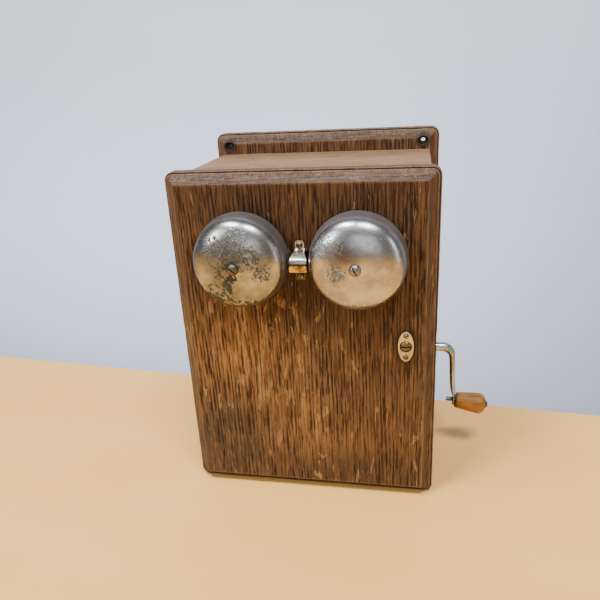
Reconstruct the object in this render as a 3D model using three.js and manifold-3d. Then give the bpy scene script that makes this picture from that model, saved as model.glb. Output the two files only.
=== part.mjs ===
// Wall-mounted magneto ringer box with crank, from a wooden crank telephone set.
// Millimetres. X to the right, Y to the wall, Z up; the origin is the centre of the case's underside.
import * as THREE from 'three';
import { mergeVertices } from 'three/addons/utils/BufferGeometryUtils.js';
import Module from 'manifold-3d';

const wasm = await Module();
wasm.setup();

// ---- Driving dimensions ----
const GAP = 0.3;                     // clearance between pieces that touch

const CASE_WIDTH = 202.4;
const CASE_DEPTH = 126;
const CASE_HEIGHT = 285.4;
const BOARD = 12;                    // thickness of the case's boards
const CASE_FRONT = -CASE_DEPTH / 2;
const CASE_BACK = CASE_DEPTH / 2;
const SIDE_OUT = CASE_WIDTH / 2;
const SIDE_IN = SIDE_OUT - BOARD;

const MOULD_SIZE = 7;                // sloping part of the moulded edge
const MOULD_BEAD = 1.6;              // small step behind the slope
const CORNER_RADIUS = 7.5;

const DOOR_WIDTH = 216.2;
const DOOR_HEIGHT = 289.6;
const DOOR_THICKNESS = 18;
const DOOR_BOTTOM = 0.9;             // the door clears the surface that the case stands on
const DOOR_BACK = CASE_FRONT - 0.5;
const DOOR_FRONT = DOOR_BACK - DOOR_THICKNESS;

const BACKBOARD_WIDTH = 220;
const BACKBOARD_HEIGHT = 304.8;
const BACKBOARD_THICKNESS = 19;
const WALL_HOLE_X = 95;
const WALL_HOLE_Z = 293;

const HINGE_X = -SIDE_OUT - 3.3;     // hinge axis, just outside the left side
const HINGE_Y = CASE_FRONT + 2.4;
const HINGE_HEIGHTS = { upper: 240, lower: 52 };
const HINGE_HALF = 12;               // half the height of a hinge
const KNUCKLE_HALF = 3.8;            // half the height of the middle knuckle
const KNUCKLE_RADIUS = 2.4;
const HINGE_PIN_RADIUS = 1;
const LEAF_THICKNESS = 1;
const LEAF_RECESS = 1.5;             // depth of the door's recess for its leaf

const RINGER_X = 0.8;                // centre line of the gongs, guard and clapper
const GONG_Z = 223;
const GONG_RADIUS = 38.1;
const GONG_SPACING = 46.1;           // from the centre line to a gong's axis
const GONG_STANDOFF = 4.9;
const GONG_HEIGHT = 27;
const GONG_WALL = 1.6;

const STRAP_THICKNESS = 1.2;         // the clapper guard's strap
const GUARD_SCREW_HEIGHTS = { top: 233.4, bottom: 208.2 };

const LATCH_X = 83.6;
const LATCH_Z = 148.6;
const ESCUTCHEON_THICKNESS = 1.5;
const ESCUTCHEON_SCREWS = { top: 9.6, bottom: -9.6 };   // heights from the latch's axis
const CAM_LENGTH = 12.5;
const CAM_WIDTH = 7.2;

const SHAFT_Z = 110;                 // crank shaft, mid-way along the case's depth
const SHAFT_RADIUS = 4;
const GEAR_CENTRES = 42;             // from the crank shaft down to the armature
const GEAR_TEETH = 60;
const PINION_TEETH = 12;
const GEAR_MODULE = (2 * GEAR_CENTRES) / (GEAR_TEETH + PINION_TEETH);
const GEAR_WIDTH = 5;
const GEAR_X = 49.9;                 // from the magneto's middle to the gears

const MAGNETO_X = -14;               // middle of the magneto
const ARMATURE_Z = SHAFT_Z - GEAR_CENTRES;
const ARMATURE_RADIUS = 14.4;
const END_PLATE_X = 43.3;            // inner face of an end plate, from the middle
const END_PLATE_THICKNESS = 3;
const SHELF_Z = 30;
const SHELF_THICKNESS = 10;
const BASE_PLATE_Z = SHELF_Z + SHELF_THICKNESS + GAP;
const BASE_PLATE_THICKNESS = 3;
const POLE_BOTTOM = BASE_PLATE_Z + BASE_PLATE_THICKNESS + GAP;

const CRANK_ROD_RADIUS = 4.3;
const ARM_X = 126;                   // centre of the crank's arm, just below its elbow
const GRIP_X = 128.9;                // centre of the arm's foot, which holds the spindle
const GRIP_DROP = 56.8;              // from the shaft down to the spindle
const GRIP_TILT = THREE.MathUtils.degToRad(7);
const SPINDLE_RADIUS = 1.7;
const STUB_RADIUS = 2.1;             // the spindle's thicker end on the arm's inner side

// ---- Materials ----
const OAK = { color: 0x7a4b26, roughness: 0.62, metalness: 0 };
const OAK_WORN = { color: 0xa58a6c, roughness: 0.75, metalness: 0 };
const NICKEL = { color: 0xb9b3a9, roughness: 0.28, metalness: 1 };
const BRASS = { color: 0xb08a45, roughness: 0.38, metalness: 1 };
const STEEL = { color: 0x8c8c8a, roughness: 0.4, metalness: 1 };
const IRON = { color: 0x2f3032, roughness: 0.6, metalness: 0.6 };
const MAGNET_PAINT = { color: 0x26201f, roughness: 0.5, metalness: 0.2 };
const GREEN_SILK = { color: 0x3d4a2c, roughness: 0.9, metalness: 0 };
const COPPER_WIRE = { color: 0x7a3f22, roughness: 0.55, metalness: 0.4 };
const HARD_RUBBER = { color: 0x1c1a19, roughness: 0.5, metalness: 0 };
const HONEY_WOOD = { color: 0xb07a35, roughness: 0.45, metalness: 0 };

// ---- Helpers ----
function toSolid(geometry) {
  const bare = geometry.clone();
  bare.deleteAttribute('normal');
  bare.deleteAttribute('uv');
  const merged = mergeVertices(bare, 1e-4);
  return new wasm.Manifold(new wasm.Mesh({
    numProp: 3,
    vertProperties: new Float32Array(merged.attributes.position.array),
    triVerts: new Uint32Array(merged.index.array),
  }));
}

function toGeometry(solid) {
  const mesh = solid.getMesh();
  const geometry = new THREE.BufferGeometry();
  geometry.setAttribute('position', new THREE.BufferAttribute(mesh.vertProperties, 3));
  geometry.setIndex(new THREE.BufferAttribute(mesh.triVerts, 1));
  geometry.computeVertexNormals();
  return geometry;
}

function join(...geometries) {
  return toGeometry(geometries.map(toSolid).reduce((sum, next) => sum.add(next)));
}

function cut(geometry, ...tools) {
  return toGeometry(tools.map(toSolid).reduce((rest, tool) => rest.subtract(tool), toSolid(geometry)));
}

function common(first, second) {
  return toGeometry(toSolid(first).intersect(toSolid(second)));
}

function box([x0, x1], [y0, y1], [z0, z1]) {
  const geometry = new THREE.BoxGeometry(x1 - x0, y1 - y0, z1 - z0);
  return geometry.translate((x0 + x1) / 2, (y0 + y1) / 2, (z0 + z1) / 2);
}

// Turns a geometry made around the Y axis so that it runs along another axis.
function alongAxis(geometry, axis) {
  if (axis === 'x') return geometry.rotateZ(-Math.PI / 2);
  if (axis === 'z') return geometry.rotateX(Math.PI / 2);
  return geometry;
}

// A round bar along an axis, from one coordinate to another; centre is [x, y, z].
function bar(axis, radius, [from, to], centre = [0, 0, 0], sides = 20) {
  const geometry = new THREE.CylinderGeometry(radius, radius, to - from, sides);
  geometry.translate(0, (from + to) / 2, 0);
  return alongAxis(geometry, axis).translate(...centre);
}

// A turned piece; the profile lists [radius, distance along the axis], and is closed here.
function turned(axis, profile, sides = 24) {
  const closed = [...profile, profile[0]];
  const area = closed.slice(1).reduce(
    (sum, [r, h], i) => sum + closed[i][0] * h - r * closed[i][1], 0);
  const ordered = area > 0 ? closed : closed.reverse();
  const points = ordered.map(([r, h]) => new THREE.Vector2(r, h));
  return alongAxis(new THREE.LatheGeometry(points, sides), axis);
}

function roundedRectangle(x0, x1, y0, y1, radius) {
  const shape = new THREE.Shape();
  shape.moveTo(x0 + radius, y0);
  shape.absarc(x1 - radius, y0 + radius, radius, -Math.PI / 2, 0);
  shape.absarc(x1 - radius, y1 - radius, radius, 0, Math.PI / 2);
  shape.absarc(x0 + radius, y1 - radius, radius, Math.PI / 2, Math.PI);
  shape.absarc(x0 + radius, y0 + radius, radius, Math.PI, Math.PI * 1.5);
  return shape;
}

// An outline in X and Z made solid toward the front, from y = 0 to y = -depth.
function extrudeForward(shape, depth, options = {}) {
  const settings = { depth, bevelEnabled: false, curveSegments: 5, ...options };
  return new THREE.ExtrudeGeometry(shape, settings).rotateX(Math.PI / 2);
}

// An outline in Y and Z made solid along X, centred on x = 0.
function extrudeAcross(shape, width, curveSegments = 6) {
  const settings = { depth: width, bevelEnabled: false, curveSegments };
  const geometry = new THREE.ExtrudeGeometry(shape, settings).translate(0, 0, -width / 2);
  const turn = new THREE.Matrix4().set(0, 0, 1, 0, 1, 0, 0, 0, 0, 1, 0, 0, 0, 0, 0, 1);
  return geometry.applyMatrix4(turn);
}

function outline(points) {
  return new THREE.Shape(points.map(([x, y]) => new THREE.Vector2(x, y)));
}

// The outline of a bent strip: its middle line, thickened equally to both sides.
function stripOutline(middle, thickness) {
  const points = middle.map(([x, y]) => new THREE.Vector2(x, y));
  const edge = (side) => points.map((point, i) => {
    const before = points[Math.max(i - 1, 0)];
    const after = points[Math.min(i + 1, points.length - 1)];
    const incoming = (i > 0 ? point.clone().sub(before) : after.clone().sub(point)).normalize();
    const leaving = (i < points.length - 1 ? after.clone().sub(point) : incoming.clone()).normalize();
    const mitre = new THREE.Vector2(-incoming.y - leaving.y, incoming.x + leaving.x).normalize();
    const stretch = thickness / 2 / mitre.dot(new THREE.Vector2(-incoming.y, incoming.x));
    return point.clone().addScaledVector(mitre, side * stretch);
  });
  return new THREE.Shape([...edge(-1), ...edge(1).reverse()]);
}

// A round wire along a smooth line through the given points.
function wire(points, radius, steps, sides = 8) {
  const places = points.map((p) => new THREE.Vector3(...p));
  const path = new THREE.CatmullRomCurve3(places, false, 'centripetal');
  const section = new THREE.Shape();
  section.absarc(0, 0, radius, 0, 2 * Math.PI);
  return new THREE.ExtrudeGeometry(section, { steps, extrudePath: path, curveSegments: sides / 2 });
}

function part(name, material, geometry, position = [0, 0, 0]) {
  const mesh = new THREE.Mesh(geometry, new THREE.MeshStandardMaterial({ ...material, name }));
  mesh.name = name;
  mesh.position.set(...position);
  return mesh;
}

function group(position, ...children) {
  const result = new THREE.Group();
  result.position.set(...position);
  result.add(...children.flat());
  return result;
}

// ---- Wooden case ----
// A board with a moulded front edge: its back lies at y = 0, its bottom at z = 0.
function mouldedBoard(width, height, thickness) {
  const half = width / 2;
  const slab = thickness - MOULD_SIZE - 1;
  const inset = MOULD_SIZE + MOULD_BEAD;
  const field = roundedRectangle(-half + inset, half - inset, inset, height - inset, 1);
  const bevel = {
    bevelEnabled: true, bevelThickness: MOULD_SIZE, bevelSize: MOULD_SIZE, bevelSegments: 1,
  };
  const middle = 2;
  const front = extrudeForward(field, middle, bevel).translate(0, -thickness + MOULD_SIZE + middle, 0);
  const back = extrudeForward(roundedRectangle(-half, half, 0, height, CORNER_RADIUS), slab);
  return join(back, front);
}

function backboard() {
  const board = mouldedBoard(BACKBOARD_WIDTH, BACKBOARD_HEIGHT, BACKBOARD_THICKNESS);
  const holes = [-WALL_HOLE_X, WALL_HOLE_X].map((x) => turned('y', [
    [0, 1], [2.3, 1], [2.3, -BACKBOARD_THICKNESS + 3], [4.9, -BACKBOARD_THICKNESS - 0.5],
    [0, -BACKBOARD_THICKNESS - 0.5],
  ], 16).translate(x, 0, WALL_HOLE_Z));
  return cut(board, ...holes);
}

function sideBoard() {
  return box([0, BOARD], [CASE_FRONT, CASE_BACK], [0, CASE_HEIGHT - BOARD - GAP]);
}

// The mortise that takes the turned latch cam, in the right side's own frame.
function rightSide() {
  const mortise = box([-1, 8.6], [CASE_FRONT + 2, CASE_FRONT + 7.4], [LATCH_Z - 6, LATCH_Z + 13.5]);
  const shaftHole = bar('x', 7.4, [-1, BOARD + 1], [0, 0, SHAFT_Z]);
  return cut(sideBoard(), mortise, shaftHole);
}

function latchKeeper() {
  const plate = box([-1.2, 0], [CASE_FRONT + 0.4, CASE_FRONT + 13], [-10, 17.5]);
  return cut(plate, box([-2, 1], [CASE_FRONT + 2, CASE_FRONT + 7.4], [-6, 13.5]));
}

function crankBushing() {
  return turned('x', [
    [4.75, -BOARD - 2], [7.1, -BOARD - 2], [7.1, GAP], [10, GAP], [9.4, 1.8], [4.75, 1.8],
  ], 20);
}

function caseParts() {
  const inside = SIDE_IN - GAP;
  return [
    part('backboard', OAK, backboard(), [0, CASE_BACK + GAP + BACKBOARD_THICKNESS, 0]),
    part('side_left', OAK, sideBoard(), [-SIDE_OUT, 0, 0]),
    part('side_right', OAK, rightSide(), [SIDE_IN, 0, 0]),
    part('top_panel', OAK_WORN, box([-SIDE_OUT, SIDE_OUT], [CASE_FRONT, CASE_BACK], [-BOARD, 0]),
      [0, 0, CASE_HEIGHT]),
    part('bottom_panel', OAK, box([-inside, inside], [CASE_FRONT, CASE_BACK], [0, BOARD])),
    part('magneto_shelf', OAK, box([-inside, inside], [-40, CASE_BACK], [0, SHELF_THICKNESS]),
      [0, 0, SHELF_Z]),
    part('latch_keeper', BRASS, latchKeeper(), [SIDE_IN - GAP, 0, LATCH_Z]),
    part('crank_bushing', NICKEL, crankBushing(), [SIDE_OUT, 0, SHAFT_Z]),
  ];
}

// ---- Hinges ----
// The leaf on the case's side, with the middle knuckle and the fixed pin; the axis is x = y = 0.
function caseLeaf() {
  const face = -SIDE_OUT - GAP - HINGE_X;
  const plate = box([face - LEAF_THICKNESS, face], [3, 19], [-HINGE_HALF, HINGE_HALF]);
  const neck = box([face - LEAF_THICKNESS, face], [0, 4], [-KNUCKLE_HALF, KNUCKLE_HALF]);
  const knuckle = bar('z', KNUCKLE_RADIUS, [-KNUCKLE_HALF, KNUCKLE_HALF], [0, 0, 0], 16);
  const pin = bar('z', HINGE_PIN_RADIUS, [-HINGE_HALF - 0.6, HINGE_HALF + 0.6], [0, 0, 0], 12);
  return join(plate, neck, knuckle, pin);
}

// The leaf let into the door's back, with the outer knuckles around the pin.
function doorLeaf() {
  const recessFloor = DOOR_BACK - LEAF_RECESS + GAP - HINGE_Y;
  const plate = box([-KNUCKLE_RADIUS, 18], [recessFloor, recessFloor + LEAF_THICKNESS],
    [-HINGE_HALF, HINGE_HALF]);
  const ends = [-1, 1].flatMap((side) => {
    const span = [side * (KNUCKLE_HALF + GAP), side * HINGE_HALF].sort((a, b) => a - b);
    const neck = box([-KNUCKLE_RADIUS, -KNUCKLE_RADIUS + LEAF_THICKNESS], [recessFloor, 0], span);
    return [bar('z', KNUCKLE_RADIUS, span, [0, 0, 0], 16), neck];
  });
  const bore = bar('z', HINGE_PIN_RADIUS + GAP, [-HINGE_HALF - 1, HINGE_HALF + 1], [0, 0, 0], 12);
  return cut(join(plate, ...ends), bore);
}

function hingeCaseParts() {
  return Object.entries(HINGE_HEIGHTS).map(([where, z]) =>
    part(`hinge_${where}_case_leaf`, BRASS, caseLeaf(), [HINGE_X, HINGE_Y, z]));
}

function hingeDoorParts() {
  return Object.entries(HINGE_HEIGHTS).map(([where, z]) =>
    part(`hinge_${where}_door_leaf`, BRASS, doorLeaf(), [HINGE_X, HINGE_Y, z]));
}

// ---- Door and what it carries outside ----
function doorPanel() {
  const board = mouldedBoard(DOOR_WIDTH, DOOR_HEIGHT, DOOR_THICKNESS).translate(0, 0, DOOR_BOTTOM);
  const slot = box([RINGER_X - 6.5, RINGER_X + 6.5], [-DOOR_THICKNESS - 1, 1], [212.5, 228]);
  const latchHole = bar('y', 3.4, [-DOOR_THICKNESS - 1, 1], [LATCH_X, 0, LATCH_Z], 16);
  const recesses = Object.values(HINGE_HEIGHTS).map((z) => box(
    [-DOOR_WIDTH / 2 - 1, HINGE_X + 18 + GAP], [-LEAF_RECESS, 1],
    [z - HINGE_HALF - GAP, z + HINGE_HALF + GAP]));
  return cut(board, slot, latchHole, ...recesses);
}

// The shell's rim lies at y = 0 and its crown at y = -GONG_HEIGHT.
function gong() {
  const skirt = 0.45 * GONG_HEIGHT;
  const neckRadius = 0.955 * GONG_RADIUS;
  const crown = (radius, height, steps) => Array.from({ length: steps + 1 }, (_, i) => {
    const angle = (i / steps) * (Math.PI / 2);
    return [radius * Math.cos(angle) ** 0.8, -skirt - (height - skirt) * Math.sin(angle)];
  });
  const hole = 2.4;
  const outside = crown(neckRadius, GONG_HEIGHT, 7);
  const inside = crown(neckRadius - GONG_WALL, GONG_HEIGHT - GONG_WALL, 6);
  outside[outside.length - 1][0] = hole;
  inside[inside.length - 1][0] = hole;
  return turned('y', [
    [GONG_RADIUS - GONG_WALL, 0], [GONG_RADIUS, 0], ...outside, ...inside.reverse(),
  ], 28);
}

function gongPost() {
  const top = -GONG_STANDOFF - GONG_HEIGHT + GONG_WALL + GAP;
  return turned('y', [
    [0, -GAP], [8, -GAP], [8, -2.5], [4.5, -4], [4.5, top], [2.4, top], [2.4, top + 9], [0, top + 9],
  ], 16);
}

// A round-headed screw: head toward the front, its underside at y = 0.
function roundHeadScrew(headRadius, headHeight, shankRadius, shankLength, slotAngle = 0) {
  const dome = [0, 1, 2, 3].map((i) => {
    const angle = (i / 3) * (Math.PI / 2);
    return [headRadius * Math.cos(angle), -headHeight * Math.sin(angle)];
  });
  const body = turned('y', [...dome, [0, shankLength], [shankRadius, shankLength], [shankRadius, 0]], 16);
  const slotHalf = headRadius * 0.12;
  const slot = box([-headRadius - 1, headRadius + 1], [-headHeight - 1, -headHeight * 0.55],
    [-slotHalf, slotHalf]).rotateY(slotAngle);
  return cut(body, slot);
}

function gongParts() {
  const sides = { left: { sign: -1, slot: 0.8 }, right: { sign: 1, slot: 1.2 } };
  return Object.entries(sides).flatMap(([where, { sign, slot }]) => {
    const screw = roundHeadScrew(4.7, 3.7, 2, 8, slot);
    return group([RINGER_X + sign * GONG_SPACING, DOOR_FRONT, GONG_Z],
      part(`gong_${where}`, NICKEL, gong(), [0, -GONG_STANDOFF, 0]),
      part(`gong_post_${where}`, BRASS, gongPost()),
      part(`gong_screw_${where}`, NICKEL, screw, [0, -GONG_STANDOFF - GONG_HEIGHT - GAP, 0]));
  });
}

// The strap over the clapper: bent in Y and Z, and narrowed to a tab at the top.
function clapperGuard() {
  const flat = -GAP - STRAP_THICKNESS / 2;
  const bent = stripOutline([
    [flat, 204.8], [flat, 212], [-3, 213.4], [-10.5, 213.6], [-12.6, 215.4], [-13, 220.5],
    [-11.6, 224.2], [-7.5, 227.2], [-2.4, 229], [flat, 230.6], [flat, 237.2],
  ], STRAP_THICKNESS);
  const front = outline([
    [-4, 203], [4, 203], [4.4, 211], [7, 213], [7, 223.5], [4, 228.5], [4, 238], [-4, 238],
    [-4, 228.5], [-7, 223.5], [-7, 213], [-4.4, 211],
  ]);
  const strap = common(extrudeAcross(bent, 16), extrudeForward(front, 20));
  const holes = Object.values(GUARD_SCREW_HEIGHTS).map((z) => bar('y', 1.6, [-3, 1], [0, 0, z], 12));
  return cut(strap, ...holes);
}

// An oval plate with the latch's hole in its middle and a screw hole at each end.
function escutcheon() {
  const shape = new THREE.Shape();
  shape.absellipse(0, 0, 6.3, 13.1, 0, 2 * Math.PI);
  const plate = extrudeForward(shape, ESCUTCHEON_THICKNESS, { curveSegments: 22 });
  const screwHoles = Object.values(ESCUTCHEON_SCREWS).map((z) => bar('y', 1.3, [-2, 1], [0, 0, z], 16));
  return cut(plate, bar('y', 4.9, [-2, 1], [0, 0, 0], 16), ...screwHoles);
}

function doorFittings() {
  const escutcheonFace = DOOR_FRONT - 2 * GAP - ESCUTCHEON_THICKNESS;
  const guardFace = DOOR_FRONT - 2 * GAP - STRAP_THICKNESS;
  const smallScrews = Object.entries(ESCUTCHEON_SCREWS).map(([where, z]) => part(
    `escutcheon_screw_${where}`, BRASS, roundHeadScrew(2.1, 1, 1, 1.5),
    [LATCH_X, escutcheonFace, LATCH_Z + z]));
  const guardScrews = Object.entries(GUARD_SCREW_HEIGHTS).map(([where, z]) => part(
    `guard_screw_${where}`, NICKEL, roundHeadScrew(2.7, 1.9, 1.3, 1.4),
    [RINGER_X, guardFace, z]));
  return [
    part('escutcheon', NICKEL, escutcheon(), [LATCH_X, DOOR_FRONT - GAP, LATCH_Z]),
    part('clapper_guard', NICKEL, clapperGuard(), [RINGER_X, DOOR_FRONT, 0]),
    ...smallScrews,
    ...guardScrews,
  ];
}

// ---- Latch: a slotted screw in front, and the cam that it turns behind the door ----
function latchScrew() {
  const head = roundHeadScrew(4.4, 2.2, 2.6, DOOR_THICKNESS + 7);
  return head.translate(0, -0.6, 0);
}

function latchCam() {
  const shape = new THREE.Shape();
  const half = CAM_WIDTH / 2;
  shape.absarc(0, 0, half, Math.PI, 2 * Math.PI);
  shape.lineTo(half, CAM_LENGTH - 1.2);
  shape.lineTo(half - 1.2, CAM_LENGTH - 0.4);
  shape.lineTo(-half + 1.2, CAM_LENGTH - 0.4);
  shape.lineTo(-half, CAM_LENGTH - 1.2);
  const plate = extrudeForward(shape, 2.4);
  return cut(plate, bar('y', 2.9, [-4, 1], [0, 0, 0], 16));
}

function latchParts() {
  return [
    part('latch_screw', BRASS, latchScrew(), [LATCH_X, DOOR_FRONT, LATCH_Z]),
    part('latch_cam', BRASS, latchCam(), [LATCH_X, CASE_FRONT + 6, LATCH_Z]),
  ];
}

// ---- Ringer behind the door; y = 0 is the door's back, x = 0 the ringer's centre line ----
const PIVOT_Z = 160;
const COIL_X = 16;
const COIL_Y = 20;
const ROD_Y = 6.5;

function ringerFrame() {
  const bent = outline([
    [GAP, 153], [3, 153], [3, 208.3], [29, 208.3], [29, 211], [GAP, 211],
  ]);
  const rodNotch = box([-6.5, 6.5], [2.9, 11], [207, 212]);
  const pinHole = bar('y', 1.8, [-1, 4], [0, 0, PIVOT_Z], 12);
  return cut(extrudeAcross(bent, 60), rodNotch, pinHole);
}

function ringerYoke() {
  const cores = [-COIL_X, COIL_X].map((x) => bar('z', 4, [165, 205], [x, COIL_Y, 0], 16));
  return join(box([-26, 26], [12, 28], [204, 208]), ...cores);
}

function ringerCoil() {
  return turned('z', [
    [4.3, 172], [11.4, 172], [11.4, 174], [10.4, 174], [10.4, 201.7], [11.4, 201.7], [11.4, 203.7],
    [4.3, 203.7],
  ], 20);
}

function ringerMagnet() {
  return extrudeAcross(outline([
    [14, 149.5], [34, 149.5], [34, 215], [12, 215], [12, 211.3], [30, 211.3], [30, 153.5], [14, 153.5],
  ]), 14);
}

function ringerArmature() {
  const blade = box([-24, 24], [14, 27], [PIVOT_Z - 2, PIVOT_Z + 2]);
  const hub = bar('y', 3.4, [14, 27], [0, 0, PIVOT_Z], 16);
  return cut(join(blade, hub), bar('y', 1.8, [10, 30], [0, 0, PIVOT_Z], 12));
}

function ringerParts() {
  return group([RINGER_X, DOOR_BACK, 0],
    part('ringer_frame', BRASS, ringerFrame()),
    part('ringer_yoke', IRON, ringerYoke()),
    part('ringer_coil_left', GREEN_SILK, ringerCoil(), [-COIL_X, COIL_Y, 0]),
    part('ringer_coil_right', GREEN_SILK, ringerCoil(), [COIL_X, COIL_Y, 0]),
    part('ringer_magnet', MAGNET_PAINT, ringerMagnet()),
    part('ringer_pivot_pin', STEEL, bar('y', 1.5, [0.6, 29.4], [0, 0, PIVOT_Z], 12)));
}

// ---- Clapper: armature, rod and ball, swinging about the ringer's pivot pin ----
const BALL_RADIUS = 4;
const BALL_Y = -24.3;
const BALL_Z = 220.4;

function clapperParts() {
  const rodEnd = BALL_Y + BALL_RADIUS + GAP;
  const rodLine = [
    [0, 20, PIVOT_Z + 3.8], [0, 19, 166], [0, ROD_Y + 1, 170.5], [0, ROD_Y, 176], [0, ROD_Y, 195],
    [0, ROD_Y, 209], [0, 3, 216], [0, -6, 219.4], [0, rodEnd, BALL_Z],
  ];
  return group([RINGER_X, DOOR_BACK, 0],
    part('ringer_armature', IRON, ringerArmature()),
    part('clapper_rod', STEEL, wire(rodLine, 1.2, 26)),
    part('clapper_ball', BRASS, new THREE.SphereGeometry(BALL_RADIUS, 16, 10), [0, BALL_Y, BALL_Z]));
}

// ---- Magneto; x = 0 is its middle ----
function magnet() {
  const inner = 23.3;
  const outer = 31.3;
  const archZ = 115.5;
  const shape = new THREE.Shape();
  shape.moveTo(outer, POLE_BOTTOM);
  shape.absarc(0, archZ, outer, 0, Math.PI);
  shape.lineTo(-outer, POLE_BOTTOM);
  shape.lineTo(-inner, POLE_BOTTOM);
  shape.absarc(0, archZ, inner, Math.PI, 0, true);
  shape.lineTo(inner, POLE_BOTTOM);
  return extrudeAcross(shape, 21, 12);
}

// One pole piece, hollowed for the armature; side is -1 in front and 1 behind.
function pole(side) {
  const length = END_PLATE_X - GAP;
  const across = [side * 3, side * 23].sort((a, b) => a - b);
  const block = box([-length, length], across, [POLE_BOTTOM, 90]);
  return cut(block, bar('x', ARMATURE_RADIUS + 0.8, [-60, 60], [0, 0, ARMATURE_Z], 32));
}

function endPlate() {
  const half = 21;
  const shape = new THREE.Shape();
  shape.moveTo(half, POLE_BOTTOM);
  shape.lineTo(half, 92);
  shape.absarc(0, SHAFT_Z, 12, 0, Math.PI);
  shape.lineTo(-half, 92);
  shape.lineTo(-half, POLE_BOTTOM);
  const plate = extrudeAcross(shape, END_PLATE_THICKNESS, 8);
  return cut(plate,
    bar('x', SHAFT_RADIUS + GAP, [-3, 3], [0, 0, SHAFT_Z], 16),
    bar('x', 3 + GAP, [-3, 3], [0, 0, ARMATURE_Z], 16));
}

function magnetoParts() {
  const plateX = END_PLATE_X + END_PLATE_THICKNESS / 2;
  const outside = -END_PLATE_X - END_PLATE_THICKNESS - GAP;
  const basePlate = box([-48, 48], [-34, 34], [0, BASE_PLATE_THICKNESS]);
  const magnets = [-1, 0, 1].map((place, i) =>
    part(`magneto_magnet_${i + 1}`, MAGNET_PAINT, magnet(), [place * 21.3, 0, 0]));
  return group([MAGNETO_X, 0, 0],
    part('magneto_base_plate', BRASS, basePlate, [0, 0, BASE_PLATE_Z]),
    part('magneto_pole_front', IRON, pole(-1)),
    part('magneto_pole_rear', IRON, pole(1)),
    magnets,
    part('magneto_end_plate_left', BRASS, endPlate(), [-plateX, 0, 0]),
    part('magneto_end_plate_right', BRASS, endPlate(), [plateX, 0, 0]),
    part('spring_block', HARD_RUBBER, box([-3, 0], [-6, 6], [80, 92]), [outside, 0, 0]),
    part('contact_spring', BRASS, box([-0.8, 0], [-3, 3], [82, 114]), [outside - 3 - GAP, 0, 0]));
}

// ---- Gearing ----
// A spur gear's outline, with a tooth at angle zero; involute flanks, slightly thinned.
function gearOutline(teeth) {
  const pressure = THREE.MathUtils.degToRad(20);
  const pitch = (GEAR_MODULE * teeth) / 2;
  const base = pitch * Math.cos(pressure);
  const root = pitch - 1.1 * GEAR_MODULE;
  const tip = pitch + 0.72 * GEAR_MODULE;
  const involute = (angle) => Math.tan(angle) - angle;
  const halfTooth = (radius) => {
    const angle = Math.acos(Math.min(1, base / radius));
    return (Math.PI / 2 / teeth) * 0.88 + involute(pressure) - involute(angle);
  };
  const flank = [Math.max(base, root), pitch, tip];
  const points = [];
  for (let tooth = 0; tooth < teeth; tooth += 1) {
    const middle = (tooth / teeth) * 2 * Math.PI;
    const side = (sign, radii) => radii.map((r) => [r, middle + sign * halfTooth(r)]);
    const rising = side(-1, flank);
    const falling = side(1, [...flank].reverse());
    const feet = root < base ? [[root, rising[0][1]], [root, falling.at(-1)[1]]] : [];
    points.push(...feet.slice(0, 1), ...rising, ...falling, ...feet.slice(1));
  }
  return outline(points.map(([r, a]) => [r * Math.cos(a), r * Math.sin(a)]));
}

function driveGear() {
  const wheel = extrudeAcross(gearOutline(GEAR_TEETH), GEAR_WIDTH);
  const hub = bar('x', 8, [0, GEAR_WIDTH / 2 + 4]);
  const bore = bar('x', SHAFT_RADIUS + GAP, [-10, 10]);
  const windows = [0, 1, 2, 3].map((i) => {
    const angle = (i / 4 + 1 / 8) * 2 * Math.PI;
    return bar('x', 7, [-10, 10], [0, 21 * Math.cos(angle), 21 * Math.sin(angle)], 16);
  });
  return cut(join(wheel, hub), bore, ...windows);
}

// ---- Crank: shaft, gear, arm and spindle; the shaft's axis is y = z = 0 ----
const SLEEVE_START = 60;

function crankShaft() {
  const left = MAGNETO_X - END_PLATE_X - END_PLATE_THICKNESS - 2.6;
  return turned('x', [
    [0, left], [SHAFT_RADIUS, left], [SHAFT_RADIUS, SLEEVE_START], [6.5, SLEEVE_START], [6.5, 85],
    [CRANK_ROD_RADIUS + GAP, 85], [CRANK_ROD_RADIUS + GAP, 66], [0, 66],
  ], 20);
}

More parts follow.
